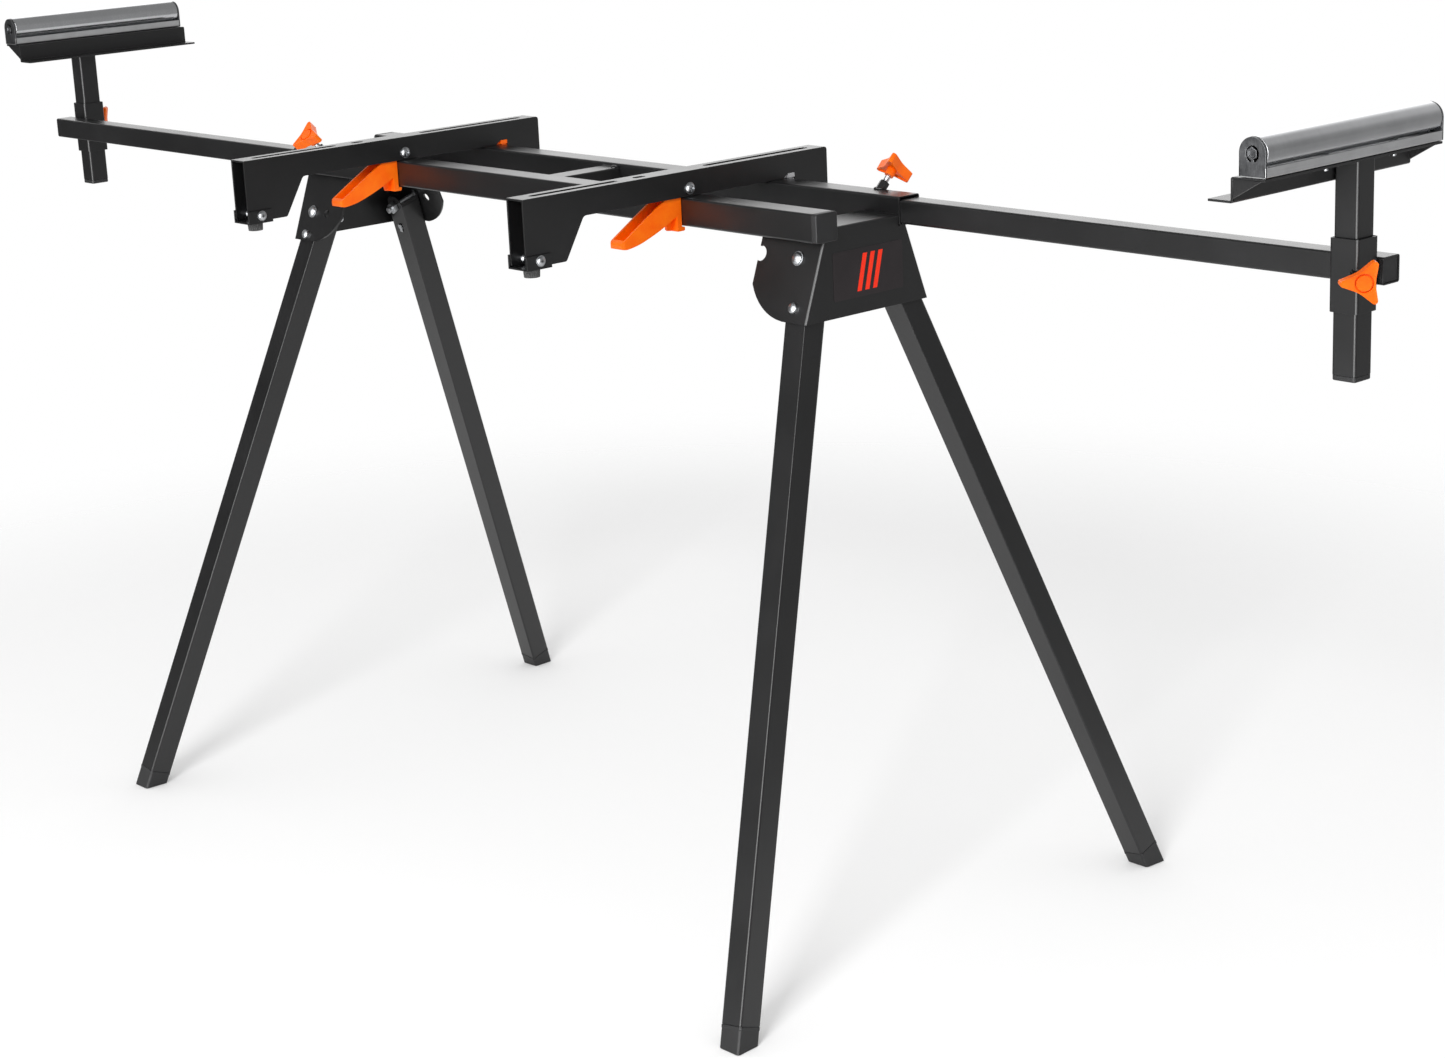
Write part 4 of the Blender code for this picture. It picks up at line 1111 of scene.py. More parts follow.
@dataclass(frozen=True)
class RollerHeads:
    """The two roller posts with their heads: bracket, tray, axle and roller."""

    post: SquareTube = SquareTube(0.025, rounding=0.0024)
    cap: EndCap = EndCap(0.025, 0.005)
    plate: float = 0.0022
    wall: float = 0.0225
    flange: float = 0.026
    bend: float = 0.0022
    gusset_inset: float = 0.004
    gusset_foot: float = 0.004
    tray_plate: float = 0.0015
    tray_wall: float = 0.009
    ear_plate: float = 0.002
    ear_centre: float = 0.0205
    ear_lift: float = 0.0006
    hole: float = 0.0065
    hole_drop: float = 0.0012
    hole_sweep: float = 62.0
    tab: tuple[float, float] = (0.0028, 0.0018)
    axle_flats: float = 0.010
    roller: float = 0.014
    rim: float = 0.0016
    ring: float = 0.0032
    seal: float = 0.0118
    screws: tuple[float, float] = (-0.012, 0.088)

    @property
    def axle_radius(self) -> float:
        """Radius over the axle's six corners."""
        return self.axle_flats / math.sqrt(3)

    def build(self) -> None:
        """Builds the right head and puts a copy of each piece on the left post."""
        # The tray's ears take the darker copy of the galvanised finish, which is painted shade.
        made = [
            (self.post_tube(), POWDER, "roller_post"), (self.post_cap(), BLACK_PLASTIC, "post_cap"),
            (self.bracket(), POWDER, "head_bracket"), (self.tray(), GALVANISED, "roller_tray"),
            (self.tray_ears(), PLATE_STEEL, None), (self.axle(), OILED_STEEL, "roller_axle"),
            (self.roller_tube(), ROLLER_STEEL, "roller"), (self.seals(), BLACK_PLASTIC, None),
            (self.tray_screws(), ZINC, None), (self.post_weld(), POWDER, None)]
        for piece, finish, node in made:
            turns = piece.name.startswith(("right_roller_tube", "right_roller_seals"))
            for side in (Side.LEFT, Side.RIGHT):
                body = f"{side.label}_{'spinning_roller' if turns else 'post'}"
                dress(on_side(piece, side, side.lift("roller_post")), body, finish,
                      *([f"{side.label}_{node}"] if node else []))

    def post_tube(self) -> Piece:
        """Cuts the post."""
        low, high, (x, y, _) = middle_of("right_roller_post")
        return self.post.cut("right_post_tube", (x, y, low.z), (x, y, high.z))

    def post_cap(self) -> Piece:
        """Moulds the cap at the post's foot."""
        low, _, (x, y, _) = middle_of("right_roller_post")
        return place(self.cap.make("right_post_end_cap"), at((x, y, low.z), (0, 0, -1)))

    def bracket(self) -> Piece:
        """Folds the bracket: a top plate, a wall, an inward flange, and a gusset at each end.

        Returns:
            The bracket of the right head.
        """
        low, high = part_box("right_head_bracket")
        back, front = low.x + self.flange - self.plate, high.x
        top, bottom = high.z, high.z - self.wall
        outline = [(front, top - self.plate), (front, top)]
        outline += arc(back + self.bend, top - self.bend, self.bend, 90, 180, 5)
        inner = self.bend * 0.5
        outline += arc(back - inner, bottom + self.plate + inner, inner, 0, -90, 4)
        outline += [(low.x, bottom + self.plate), (low.x, bottom)]
        outline += arc(back + self.plate - self.bend, bottom + self.bend, self.bend, -90, 0, 5)
        outline += [(back + self.plate, top - self.plate)]
        sheet = soften(traced("sheet", outline, Plane.XZ, low.y, high.y), 0.0003)
        gusset = [(back + self.bend, top - self.plate / 2), (front, top - self.plate / 2),
                  (front, top - self.plate), (front - self.gusset_inset, top - self.plate),
                  (back + self.plate, bottom + self.gusset_foot),
                  (back + self.bend, bottom + 0.001), (back + 0.0008, bottom + 0.002)]
        gussets = []
        for start in (low.y, high.y - self.plate):
            gussets.append(soften(
                traced("gusset", gusset, Plane.XZ, start, start + self.plate), 0.0005, 2, 60.0))
        return joined("right_head_sheet", sheet, *gussets)

    def tray(self) -> Piece:
        """Folds the tray's floor and its low walls.

        Returns:
            The tray of the right head.
        """
        low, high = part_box("right_roller_tray")
        pan = block("right_tray_pan", low, (high.x, high.y, low.z + self.tray_wall))
        round_edges(pan, lambda a, b: abs(a.y - b.y) > 0.1 and a.z < low.z + 0.001, 0.0018, 4)
        open_ends(pan, lambda middle, normal: max(normal.z, abs(normal.y)) > FACING,
                  self.tray_plate)
        return soften(pan, 0.0003)

    def tray_ears(self) -> Piece:
        """Cuts a round-headed ear with a keyhole for each end of the tray.

        Returns:
            The right head's ears, as one piece.
        """
        low, high, (x, _, _) = middle_of("right_roller_tray")
        half, foot, centre = (high.x - low.x) / 2, low.z + self.ear_lift, low.z + self.ear_centre
        ear = [(x + half, foot), *arc(x, centre, half, 0, 180, 24), (x - half, foot)]
        width, rise = self.tab
        lower, sweep = centre - self.hole_drop, self.hole_sweep
        keyhole = arc(x, centre, self.hole, 0, 180, 20)
        keyhole += arc(x, lower, self.hole, 180, 180 + sweep, 7)
        bottom = min(point[1] for point in keyhole)
        keyhole += [(x - width / 2, bottom), (x - width / 2, bottom + rise),
                    (x + width / 2, bottom + rise), (x + width / 2, bottom)]
        keyhole += arc(x, lower, self.hole, 360 - sweep, 360, 7)
        ears = []
        for start in (low.y, high.y - self.ear_plate):
            plate = traced("ear", ear, Plane.XZ, start, start + self.ear_plate)
            carve(plate, traced("keyhole", keyhole, Plane.XZ, start - 0.01, start + 0.01))
            ears.append(soften(plate, 0.0004))
        return joined("right_tray_ears", *ears)

    def seals(self) -> Piece:
        """Makes the bearing's dark seal in each end of the roller.

        Returns:
            The right head's seals, as one piece.
        """
        low, high, (x, _, z) = middle_of("right_roller")
        made = []
        for y, way in ((low.y, -1), (high.y, 1)):
            ring = round_bar("seal", self.seal, -0.0018, -0.0001, 48)
            carve(ring, round_bar("bore", self.axle_radius + GAP, -THROUGH, THROUGH, 36))
            made.append(place(soften(ring, 0.0003), at((x, y, z), (0, way, 0))))
        return joined("right_roller_seals", *made)

    def axle(self) -> Piece:
        """Makes the hexagonal axle with turned ends and a centre hole in each.

        Returns:
            The axle of the right head.
        """
        low, high, (x, _, z) = middle_of("right_roller_axle")
        axle = round_bar("right_axle_bar", self.axle_radius, 0.0, high.y - low.y, 6)
        with editing(axle):
            pick_faces(axle, along(z=1))
            bpy.ops.mesh.inset(thickness=0.0018, use_individual=True)
            for way in (1, -1):
                pick_faces(axle, central(way))
                extrude(0, 0, -0.0015 * way)
        return place(soften(axle, 0.0004), at((x, low.y, z), (0, 1, 0)))

    def roller_tube(self) -> Piece:
        """Turns the roller: rolled-in rims with a bearing ring and a bore at each end.

        Returns:
            The roller of the right head.
        """
        low, high, (x, _, z) = middle_of("right_roller")
        run = high.y - low.y
        roller = round_bar("right_roller_tube", self.roller, 0.0, run, 72)
        with editing(roller):
            pick_faces(roller, along(z=1))
            bpy.ops.mesh.inset(thickness=self.rim, use_individual=True)
        for way in (1, -1):
            with editing(roller):
                pick_faces(roller, central(way))
                extrude(0, 0, -self.rim * way)
                bpy.ops.mesh.inset(thickness=self.ring)
                extrude(0, 0, 0.0008 * way)
        carve(roller, round_bar("bore", self.axle_radius + GAP, -THROUGH, run + THROUGH, 36))
        return place(soften(roller, 0.0005, 3), at((x, low.y, z), (0, 1, 0)))

    def tray_screws(self) -> Piece:
        """Makes the two screws that hold the tray, with their nuts under the plate.

        Returns:
            The right head's screws, as one piece.
        """
        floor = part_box("right_roller_tray")[0].z
        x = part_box("right_head_bracket")[1].x - 0.017
        bolt = Bolt(shank=0.002, head=0.004, height=0.0024, nut=0.003, flats=0.007, proud=0.003,
                    grip=self.plate + self.tray_plate + GAP)
        made = [place(bolt.make("tray_screw"), Matrix.Translation((x, y, floor + self.tray_plate)))
                for y in self.screws]
        return joined("right_tray_screws", *made)

    def post_weld(self) -> Piece:
        """Lays the bead that joins the post to the plate.

        Returns:
            The bead of the right head.
        """
        high, (x, y, _) = middle_of("right_roller_post")[1:]
        deselect()
        bpy.ops.mesh.primitive_torus_add(major_segments=96, minor_segments=8,
                                         major_radius=self.post.side / 2, minor_radius=0.0013)

        def squared(spot: Vector) -> tuple:
            angle = math.atan2(spot.y, spot.x)
            reach = 0.97 / max(abs(math.cos(angle)), abs(math.sin(angle)))
            return spot.x * reach, spot.y * reach, spot.z + 0.0002 * math.sin(angle * 40)

        bead = reshape(adopt("right_post_weld"), squared)
        return soften(place(bead, Matrix.Translation((x, y, high.z))), 0.0)


def curve(points: Outline, steps: int = 5) -> Outline:
    """Smooth curve through the points, ends included.

    Args:
        points: Points that it passes through.
        steps: Steps between two points.

    Returns:
        The curve's points.
    """
    ends = [Vector(points[0]) * 2 - Vector(points[1]), *map(Vector, points),
            Vector(points[-1]) * 2 - Vector(points[-2])]
    made: list[tuple[float, float]] = []
    for a, b, c, d in zip(ends, ends[1:], ends[2:], ends[3:]):
        for step in range(steps):
            t = step / steps
            spot = (b * 2 + (c - a) * t + (a * 2 - b * 5 + c * 4 - d) * t ** 2
                    + (b * 3 - a - c * 3 + d) * t ** 3) / 2
            made.append((spot.x, spot.y))
    return made + [tuple(points[-1])]


def rounded_box(low: Sequence[float], high: Sequence[float], radius: float) -> Outline:
    """Rectangle between two corners, with its corners rounded.

    Args:
        low: Its lowest corner.
        high: Its highest corner.
        radius: Radius of its corners.

    Returns:
        The outline's points.
    """
    (x0, y0), (x1, y1) = low, high
    return (arc(x1 - radius, y1 - radius, radius, 0, 90, 5)
            + arc(x0 + radius, y1 - radius, radius, 90, 180, 5)
            + arc(x0 + radius, y0 + radius, radius, 180, 270, 5)
            + arc(x1 - radius, y0 + radius, radius, 270, 360, 5))


@dataclass(frozen=True)
class LegBrackets:
    """The bent sheet brackets under the rails' ends, and the film on the right one."""

    film: tuple = ((-0.0485, 0.691), (0.052, 0.741))
    bars: tuple = ((-0.015, 0.697), (0.023, 0.735))
    bar: float = 0.0060
    slant: float = 0.0095
    film_thick: float = 0.0002

    def build(self) -> None:
        """Builds both brackets, then lays the film and its slanted bars."""
        for side in Side:
            node = f"{side.label}_leg_bracket"
            dress(refined(node, f"{side.label}_bracket_sheet", 0.0004), "stand", POWDER, node)
        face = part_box("right_leg_bracket")[1].x + 0.00005
        film = traced("bracket_film", rounded_box(*self.film, 0.0025), Plane.YZ, face,
                      face + self.film_thick)
        dress(soften(film, 0.0), "stand", DARK_FILM)
        (y0, z0), (y1, z1) = self.bars
        pitch = (y1 - y0 - self.slant - self.bar) / 2
        bars = []
        for index in range(3):
            y = y0 + pitch * index
            outline = [(y, z0), (y + self.bar, z0), (y + self.bar + self.slant, z1),
                       (y + self.slant, z1)]
            bars.append(traced("bar", outline, Plane.YZ, face + self.film_thick,
                               face + self.film_thick * 1.6))
        dress(soften(joined("bracket_film_bars", *bars), 0.0), "stand", ORANGE_FILM)


class End(Enum):
    """End of the stand that a leg stands at, by the sign of its Y."""

    FRONT = -1
    BACK = 1


@dataclass(frozen=True)
class Legs:
    """The four splayed legs with their feet, pivot bolts and lock buttons."""

    side: float = 0.028
    wall: float = 0.0015
    rounding: float = 0.0024
    tilt: float = 20.0
    flange: float = 0.018
    foot: float = 0.0288
    foot_height: float = 0.021
    collar: tuple[float, float] = (0.0035, 0.0041)
    neck: float = 0.975
    pin: float = 0.0045
    button: float = 0.0055
    button_low: float = 0.0165
    button_high: float = 0.0225
    washer: tuple[float, float] = (0.0143, 0.0152)
    bolt: Bolt = Bolt(shank=0.004, head=0.0066, height=0.0045, grip=0.0326, flats=0.013,
                      nut=0.0065, proud=0.0052)

    def build(self) -> None:
        """Builds each leg on its own hinge."""
        for side, splay, lock in ((Side.RIGHT, 9.8, 0.051), (Side.LEFT, 8.9, 0.029)):
            for end in End:
                self.build_leg(side, end, math.radians(splay), lock)

    def hinge(self, side: Side, end: End) -> Matrix:
        """Frame on the pivot: X outwards along the rails, Z up the slope, Y along the bolt.

        Args:
            side: The leg's side of the stand.
            end: Whether the leg is a front or a back one.

        Returns:
            The frame, as a matrix.
        """
        tilt = math.radians(self.tilt)
        across = Vector((side.value, 0, 0))
        up = Vector((0, -end.value * math.sin(tilt), math.cos(tilt)))
        turn = Matrix((across, up.cross(across), up)).transposed().to_4x4()
        spot = joint(f"{side.label}_{end.name.lower()}_leg_fold").point
        return Matrix.Translation(spot) @ turn

    def build_leg(self, side: Side, end: End, splay: float, lock: float) -> None:
        """Builds the tube, the foot, the pivot bolt with its washer, and the lock button.

        Args:
            side: The leg's side of the stand.
            end: Whether the leg is a front or a back one.
            splay: Its lean outwards along the rails, in radians.
            lock: How far the lock button lies below the pivot.
        """
        name = f"{side.label}_{end.name.lower()}"
        hinge = self.hinge(side, end)
        out = side.value * end.value
        world = hinge @ Matrix.Rotation(-splay, 4, "Y")
        down = world.to_3x3() @ Vector((0, 0, -1))
        low = self.foot_height - world.translation.z / -down.z
        dress(place(self.tube(f"{name}_leg_tube", low, out, lock), world),
              f"{name}_leg_assembly", POWDER, f"{name}_leg")
        dress(self.foot_piece(f"{name}_foot_boot", low, world), f"{name}_leg_assembly",
              BLACK_PLASTIC, f"{name}_foot_cap")
        outward = Matrix.Rotation(-out * math.pi / 2, 4, "X")
        washer = round_bar("washer", 0.009, self.washer[0], self.washer[1])
        bolt = place(self.bolt.make("bolt"), Matrix.Translation((0, 0, self.flange + GAP)))
        bolt = joined(f"{name}_pivot_fastener", bolt, soften(washer, 0.0002))
        dress(place(bolt, hinge @ outward), "stand", ZINC, f"{name}_pivot_bolt")
        shoulder = self.button_low + (self.button_high - self.button_low) * 0.6
        button = joined(f"{name}_lock_pin",
                        soften(round_bar("pin", self.button, self.button_low, shoulder), 0.0),
                        soften(dome("tip", self.button, self.button_high - shoulder, shoulder),
                               0.0))
        spot = world @ Matrix.Translation((0, 0, -lock)) @ outward
        dress(place(button, spot), f"{name}_lock", ZINC, f"{name}_lock_button")
        dress(place(self.lock_clip(f"{name}_lock_clip"), spot), f"{name}_leg_assembly", ZINC)

    def lock_clip(self, name: str) -> Piece:
        """Bends the end of the lock's spring, which shows on the leg's inner face.

        Args:
            name: Name of the new piece.

        Returns:
            The clip.
        """
        low = -self.side / 2 - GAP
        foot = block(name, (-0.0032, -0.0026, low - 0.0016), (0.0032, 0.0030, low))
        with editing(foot):
            pick_faces(foot, toward(y=-1))
            bpy.ops.mesh.inset(thickness=0.0007)
            extrude(0.0006, -0.0052, 0)
        return soften(foot, 0.0005)

    def tube(self, name: str, low: float, out: int, lock: float) -> Piece:
        """Makes the tube about the pivot: a round-topped end with its pin and catch holes.

        Args:
            name: Name of the new piece.
            low: Height of its lower end in the leg's own frame.
            out: Sign of the way that the catch hole faces.
            lock: How far the catch hole lies below the pivot.

        Returns:
            The tube, about its pivot.
        """
        half = self.side / 2
        inner = half - self.wall
        outline = [(half, low)] + arc(0, 0, half, 0, 180, 24) + [(-half, low)]
        tube = traced(name, outline, Plane.XZ, -half, half)
        round_edges(tube, rising(0.1), self.rounding, 5)
        hollow = block("hollow", (-inner, -inner, low - 0.01), (inner, inner, half + 0.01))
        round_edges(hollow, rising(0.1), self.rounding - self.wall, 3)
        sideways = Matrix.Rotation(-out * math.pi / 2, 4, "X")
        pin = place(round_bar("pin", self.pin, -0.03, 0.03, 24), sideways)
        catch = place(round_bar("catch", self.button, inner - 0.003, half + 0.01, 32),
                      Matrix.Translation((0, 0, -lock)) @ sideways)
        return soften(carve(tube, hollow, pin, catch), 0.0003)

    def foot_piece(self, name: str, low: float, world: Matrix) -> Piece:
        """Moulds the boot on the leg's end: a collar at its top, cut level with the floor.

        Args:
            name: Name of the new piece.
            low: Height of the tube's end in the leg's own frame.
            world: Takes the leg's own frame to its place.

        Returns:
            The boot, in its place.
        """
        half = self.foot / 2
        boot = block(name, (-half, -half, low - 0.05), (half, half, low - GAP))
        round_edges(boot, rising(0.04), 0.0032, 6)
        with editing(boot):
            for drop in self.collar:
                select_all()
                bpy.ops.mesh.bisect(plane_co=(0, 0, low - drop), plane_no=(0, 0, 1))

        def drawn_in(spot: Vector) -> tuple:
            share = self.neck if spot.z < low - 0.004 else 1.0
            return spot.x * share, spot.y * share, spot.z

        place(reshape(boot, drawn_in), world)
        with editing(boot):
            select_all()
            bpy.ops.mesh.bisect(plane_co=(0, 0, 0), plane_no=(0, 0, 1), use_fill=True,
                                clear_inner=True)
        return soften(boot, 0.0006)


@dataclass(frozen=True)
class SawBrackets:
    """The two saw brackets, each with its clip, foot, rear hook and clamp lever."""

    width: float = 0.026
    clip_bolt: tuple[float, float] = (-0.2726, 0.7486)
    clip_half: float = 0.0153
    clip_wall: float = 0.0044
    rubber: float = 0.0088
    lever_width: float = 0.021
    lever_wall: float = 0.0026
    hub: float = 0.008

    def build(self) -> None:
        """Builds the pieces of each bracket."""
        lever = self.lever()
        for side in Side:
            name, body = side.label, f"{side.label}_saw_mount"
            for node, shape, width in (("saw_bracket", "saw_channel", 0.0005),
                                       ("foot_clip", "clip_sheet", 0.0004)):
                piece = refined(f"{name}_{node}", f"{name}_{shape}", width)
                dress(piece, body, POWDER, f"{name}_{node}")
            x = middle_of(f"{name}_rubber_foot")[2].x
            bolt = Bolt(shank=0.0033, head=0.0048, height=0.0036, grip=2 * self.clip_half,
                        flats=0.0104, nut=0.005, proud=0.002, cross=0.0036)
            inner = dome("inner_nut", 0.0046, 0.0042, -2 * self.clip_half + self.clip_wall)
            bolt = joined(f"{name}_clip_fastener", bolt.make("bolt"), soften(inner, 0.0))
            spot = (x + self.clip_half, *self.clip_bolt)
            dress(place(bolt, at(spot, (1, 0, 0))), body, ZINC)
            dress(self.rubber_foot(f"{name}_rubber_pad"), body, RUBBER, f"{name}_rubber_foot")
            hook = refined(f"{name}_rear_hook", f"{name}_hook_moulding", 0.0006)
            dress(hook, body, GREY_PLASTIC if side is Side.RIGHT else ORANGE_PLASTIC,
                  f"{name}_rear_hook")
            pivot = joint(f"{name}_lever_swing").point
            dress(twin(lever, f"{name}_lever_moulding", Matrix.Translation(pivot)),
                  f"{name}_lever", ORANGE_PLASTIC, f"{name}_clamp_lever")
            reach = self.width / 2 + GAP
            bolt = Bolt(shank=0.003, head=0.0055, height=0.0040, grip=2 * reach, flats=0.010,
                        nut=0.005, proud=0.002, cross=0.0066)
            spot = pivot + Vector((reach, 0, 0))
            dress(place(bolt.make(f"{name}_lever_fastener"), at(spot, (1, 0, 0))), body, ZINC,
                  f"{name}_lever_bolt")
        bpy.data.objects.remove(lever, do_unlink=True)

    def rubber_foot(self, name: str) -> Piece:
        """Moulds the pad: a tapered disc with a groove round it, on its stud.

        Args:
            name: Name of the new piece.

        Returns:
            The pad with its stud, as one piece.
        """
        low, high, (x, y, _) = middle_of(name.replace("pad", "foot"))
        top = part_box(name.replace("rubber_pad", "foot_clip"))[0].z - GAP
        pad = round_bar(name, self.rubber, low.z, top, 48)
        with editing(pad):
            pick_faces(pad, toward(z=-1))
            bpy.ops.transform.resize(value=(0.93, 0.93, 1.0))
            pick_faces(pad, lambda middle, normal: abs(normal.z) < 0.5
                       and round(math.degrees(math.atan2(middle.y, middle.x)) / 7.5 - 0.5) % 2)
            bpy.ops.mesh.inset(thickness=0.00015, depth=-0.0007, use_individual=True)
        stud = round_bar("stud", 0.003, top - 0.001, high.z, 24)
        pad = joined(name, soften(pad, 0.0008, 3), soften(stud, 0.0003))
        return place(pad, Matrix.Translation((x, y, 0)))

    def lever(self) -> Piece:
        """Moulds the lever about its bolt: an open trough forwards, a rib with a toe, a web.

        Returns:
            The lever, about its bolt.
        """
        handle_top = [(-0.0940, -0.0477), (-0.0932, -0.0456), (-0.0915, -0.0442),
                      (-0.0625, -0.0265), (-0.0330, -0.0091)]
        handle_low = curve([(-0.0171, -0.0277), (-0.0349, -0.0365), (-0.0525, -0.0437),
                            (-0.0699, -0.0495), (-0.0855, -0.0523), (-0.0925, -0.0518)], 4)
        hub = arc(0.0, 0.0, self.hub, 110, -82, 16)
        toe = [(-0.0105, -0.0075), (-0.0105, -0.0399), (-0.0065, -0.0399), (-0.0065, -0.0429),
               (-0.0075, -0.0439), (-0.0165, -0.0439)]
        half = self.lever_width / 2
        lever = traced("lever_pattern", handle_top + hub + toe + handle_low, Plane.YZ,
                       -half, half)
        plan = rounded_box((-half, -0.0940), (half, 0.0300), 0.0045)
        modify(lever, "BOOLEAN", operation="INTERSECT", solver="EXACT",
               object=(sides := traced("sides", plan, Plane.XY, -0.08, 0.03)))
        bpy.data.objects.remove(sides, do_unlink=True)
        inner = half - self.lever_wall
        floor = curve([(-0.0890, -0.0460), (-0.0699, -0.0458), (-0.0525, -0.0398),
                       (-0.0349, -0.0325), (-0.0225, -0.0260)], 4)
        trough = traced("trough", [(-0.0890, 0.02)] + floor + [(-0.0195, 0.02)], Plane.YZ,
                        -inner, inner)
        round_edges(trough, lambda a, b: max(a.z, b.z) < 0.01 and abs(a.x - b.x) < 1e-5
                    and max(a.y, b.y) < -0.0224, 0.0012, 3)
        hole = place(round_bar("hole", 0.0034, -0.02, 0.02, 24), turned_to((1, 0, 0)))
        carve(lever, trough, hole)
        soften(lever, 0.0006)
        web = traced("web", [(-0.0160, -0.0270), (-0.0160, -0.0437), (-0.0232, -0.0430),
                             (-0.0262, -0.0325)], Plane.YZ, -0.0015, 0.0015)
        return joined("lever_pattern", lever, soften(web, 0.0004))


@dataclass(frozen=True)
class Studio:
    """Camera, lamp, floor and the white room.

    Each entry of the room is a bearing in degrees with the level that glossy surfaces see there
    below the horizon and above it.
    """

    eye: tuple[float, float, float] = (2.4276, -1.9810, 1.2369)
    azimuth: float = 48.164
    elevation: float = 15.731
    roll: float = -2.616
    lens: float = 69.306
    lamp_spot: tuple[float, float, float] = (1.9, -3.2, 2.6)
    lamp_size: float = 1.2
    lamp_power: float = 100.0
    target: tuple[float, float, float] = (0.0, 0.0, 0.5)
    floor_radius: float = 2.2
    floor_fade: tuple[float, float] = (0.55, 0.98)
    floor_glow: float = 0.10
    soft_level: float = 0.74
    peak: float = 20.0
    ceiling: float = 0.3
    horizon: tuple[float, float] = (-0.10, 0.04)
    ceiling_band: tuple[float, float] = (0.40, 0.70)
    room: tuple = ((0, 0.45, 0.4), (30, 0.35, 0.35), (55, 0.3, 0.25), (90, 0.6, 1.1),
                   (120, 0.6, 2.0), (150, 0.4, 1.6), (200, 0.1, 0.1), (222, 0.1, 0.1),
                   (240, 0.6, 0.6), (262, 1.8, 7.0), (285, 10.0, 3.0), (312, 1.2, 11.0),
                   (338, 0.5, 0.8))

    def build(self) -> None:
        """Sets the camera, the lamp, the floor and the room."""
        scene = bpy.context.scene
        scene.view_settings.view_transform = "Standard"
        self.set_camera(scene)
        self.hang_lamp("key_lamp", self.lamp_spot, self.lamp_size, self.lamp_power)
        self.lay_floor()
        self.paint_room(scene)

    def set_camera(self, scene: bpy.types.Scene) -> None:
        """Places the camera where the photograph was taken from.

        Args:
            scene: The scene.
        """
        turn, rise, roll = (math.radians(a) for a in (self.azimuth, self.elevation, self.roll))
        forward = Vector((-math.sin(turn) * math.cos(rise), math.cos(turn) * math.cos(rise),
                          -math.sin(rise)))
        right = Vector((math.cos(turn), math.sin(turn), 0.0))
        up = right.cross(forward)
        across = right * math.cos(roll) + up * math.sin(roll)
        upright = up * math.cos(roll) - right * math.sin(roll)
        camera = bpy.data.cameras.new("camera")
        camera.sensor_fit, camera.sensor_width, camera.lens = "HORIZONTAL", 36.0, self.lens
        camera.clip_start, camera.clip_end = 0.05, 50.0
        holder = bpy.data.objects.new("camera", camera)
        scene.collection.objects.link(holder)
        turned = Matrix((across, upright, -forward)).transposed().to_4x4()
        holder.matrix_world = Matrix.Translation(self.eye) @ turned
        scene.camera = holder

    def hang_lamp(self, name: str, spot: Sequence[float], size: float, power: float) -> None:
        """Hangs a square soft lamp that points at the stand; glossy surfaces see the room alone.

        Args:
            name: Name of the lamp.
            spot: Where it hangs.
            size: Length of its sides.
            power: Its power in watts.
        """
        lamp = bpy.data.lights.new(name, "AREA")
        lamp.size, lamp.energy = size, power
        holder = bpy.data.objects.new(name, lamp)
        holder.visible_glossy = False
        bpy.context.scene.collection.objects.link(holder)
        holder.matrix_world = at(spot, Vector(spot) - Vector(self.target))

    def lay_floor(self) -> None:
        """Lays a pale disc that keeps the shadow and fades out at its rim."""
        deselect()
        bpy.ops.mesh.primitive_circle_add(vertices=96, radius=self.floor_radius,
                                          fill_type="NGON", location=(0, 0, -0.0006))
        floor = adopt("floor")
        made = bpy.data.materials.new("matt_white_floor")
        made.use_nodes = True
        tree = made.node_tree
        where = add_node(tree, "TexCoord").outputs["Object"]
        grain = add_node(tree, "TexNoise", {"Vector": where, "Scale": 400.0})
        seen = add_node(tree, "LightPath").outputs["Is Camera Ray"]
        shader = tree.nodes["Principled BSDF"]
        feed(tree, shader, {
            "Base Color": add_ramp(tree, grain, "#F2F2F2", "#F6F6F6"), "Roughness": 0.9,
            "Specular IOR Level": 0.0, "Emission Color": (1, 1, 1, 1),
            "Emission Strength": add_node(tree, "Math", {0: seen, 1: self.floor_glow},
                                          operation="MULTIPLY")})
        reach = add_node(tree, "VectorMath", {0: where}, operation="LENGTH").outputs["Value"]
        start, end = (self.floor_radius * share for share in self.floor_fade)
        fade = add_node(tree, "MapRange", {"Value": reach, "From Min": start, "From Max": end},
                        interpolation_type="SMOOTHSTEP")
        mix = add_node(tree, "MixShader", {
            0: fade, 1: shader, 2: add_node(tree, "BsdfTransparent")})
        feed(tree, tree.nodes["Material Output"], {"Surface": mix})
        floor.data.materials.append(made)

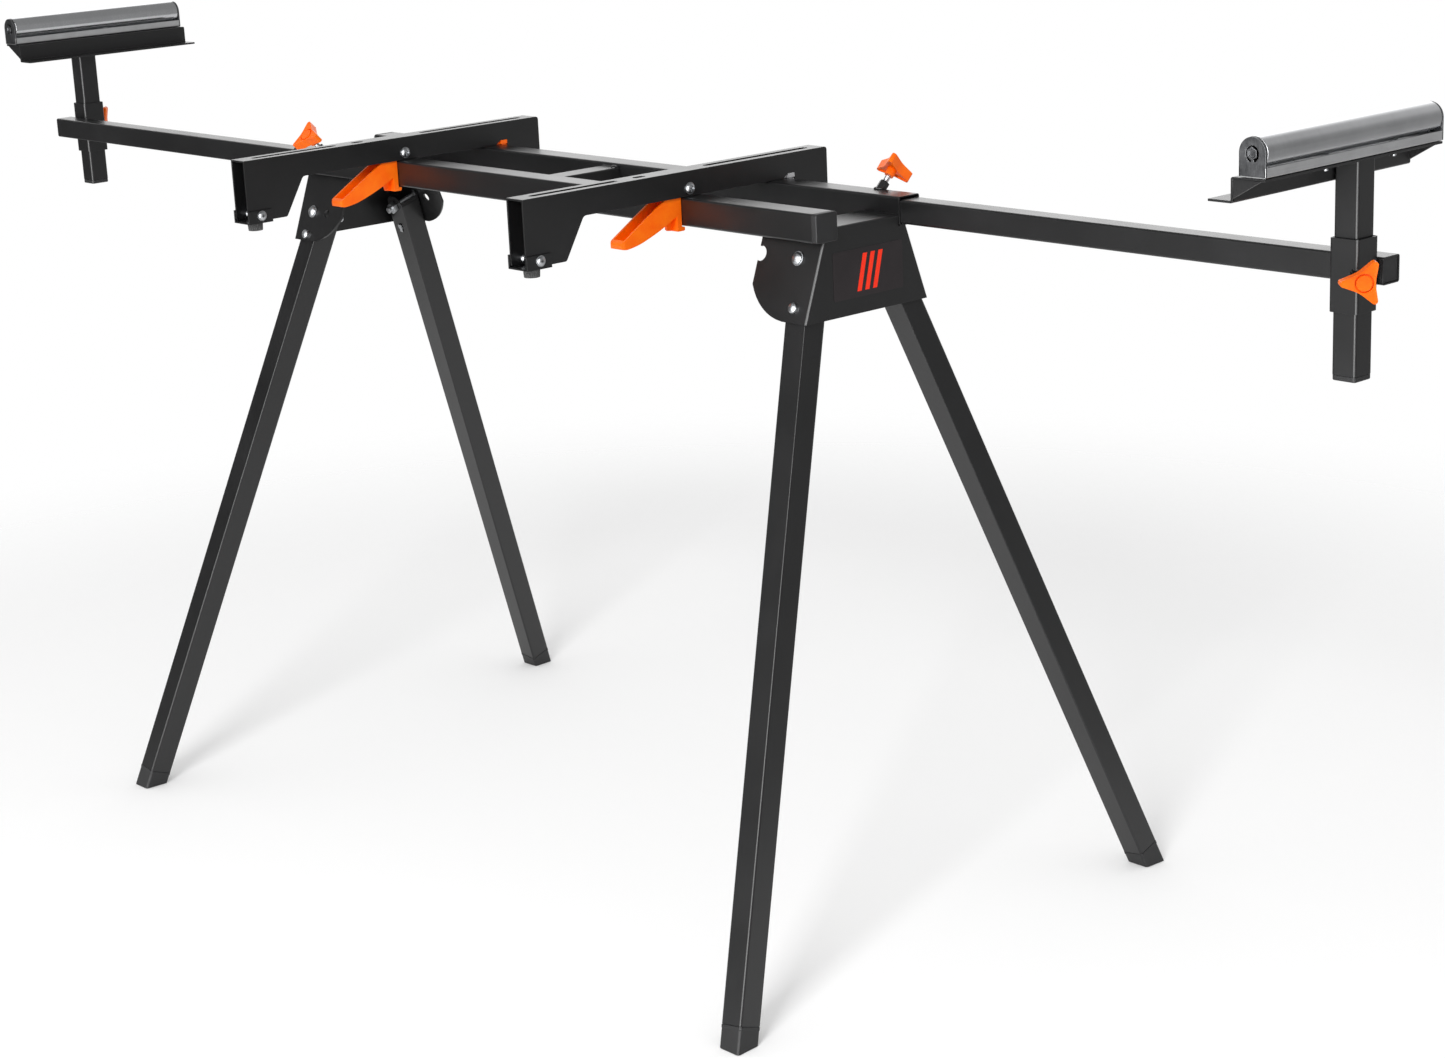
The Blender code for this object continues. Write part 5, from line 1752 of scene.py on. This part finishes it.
    def paint_room(self, scene: bpy.types.Scene) -> None:
        """Paints the room: white to the camera, even to matt surfaces, and to glossy ones a
        studio whose level changes round the stand, from below the horizon to the ceiling.

        Args:
            scene: The scene.
        """
        world = bpy.data.worlds.new("white_room")
        scene.world = world
        world.use_nodes = True
        tree = world.node_tree
        ray = add_node(tree, "SeparateXYZ", {0: add_node(tree, "TexCoord").outputs["Generated"]})
        x, y, height = ray.outputs
        bearing = add_node(tree, "Math", {0: y, 1: x}, operation="ARCTAN2")
        turns = add_node(tree, "Math", {0: bearing, 1: 1 / math.tau, 2: 1.0},
                         operation="MULTIPLY_ADD")
        ramp = add_node(tree, "ValToRGB", {"Fac": add_node(tree, "Math", {0: turns},
                                                           operation="FRACT")})
        stops = ramp.color_ramp.elements
        stops.remove(stops[1])
        stops[0].position = 0.0
        for degrees, below, above in (*self.room, (360, *self.room[0][1:])):
            stop = stops.new(degrees / 360) if degrees else stops[0]
            stop.color = (below / self.peak, above / self.peak, 0.0, 1.0)
        below, above, _ = add_node(tree, "SeparateColor", {0: ramp}).outputs

        def blend(band: tuple[float, float], low, high) -> bpy.types.Node:
            return add_node(tree, "MapRange", {
                "Value": height, "From Min": band[0], "From Max": band[1], "To Min": low,
                "To Max": high}, interpolation_type="SMOOTHSTEP")

        level = blend(self.ceiling_band, blend(self.horizon, below, above),
                      self.ceiling / self.peak)
        level = add_node(tree, "Math", {0: level, 1: self.peak}, operation="MULTIPLY")
        glossy, soft = (add_node(tree, "Background", {"Color": (1, 1, 1, 1), "Strength": strength})
                        for strength in (level, self.soft_level))
        white = tree.nodes["Background"]
        feed(tree, white, {"Color": (1, 1, 1, 1)})
        path = add_node(tree, "LightPath")
        mix = add_node(tree, "MixShader", {0: path.outputs["Is Glossy Ray"], 1: soft, 2: glossy})
        mix = add_node(tree, "MixShader", {0: path.outputs["Is Camera Ray"], 1: mix, 2: white})
        feed(tree, tree.nodes["World Output"], {"Surface": mix})


def main() -> None:
    """Builds the stand piece by piece, then the studio round it."""
    logging.basicConfig(level=logging.INFO, format="%(message)s")
    for part in (Rails(), Clamps(), Arms(), RollerHeads(), LegBrackets(), Legs(), SawBrackets(),
                 Studio()):
        part.build()
        LOG.info("%s done", type(part).__name__)


if __name__ == "__main__":
    main()
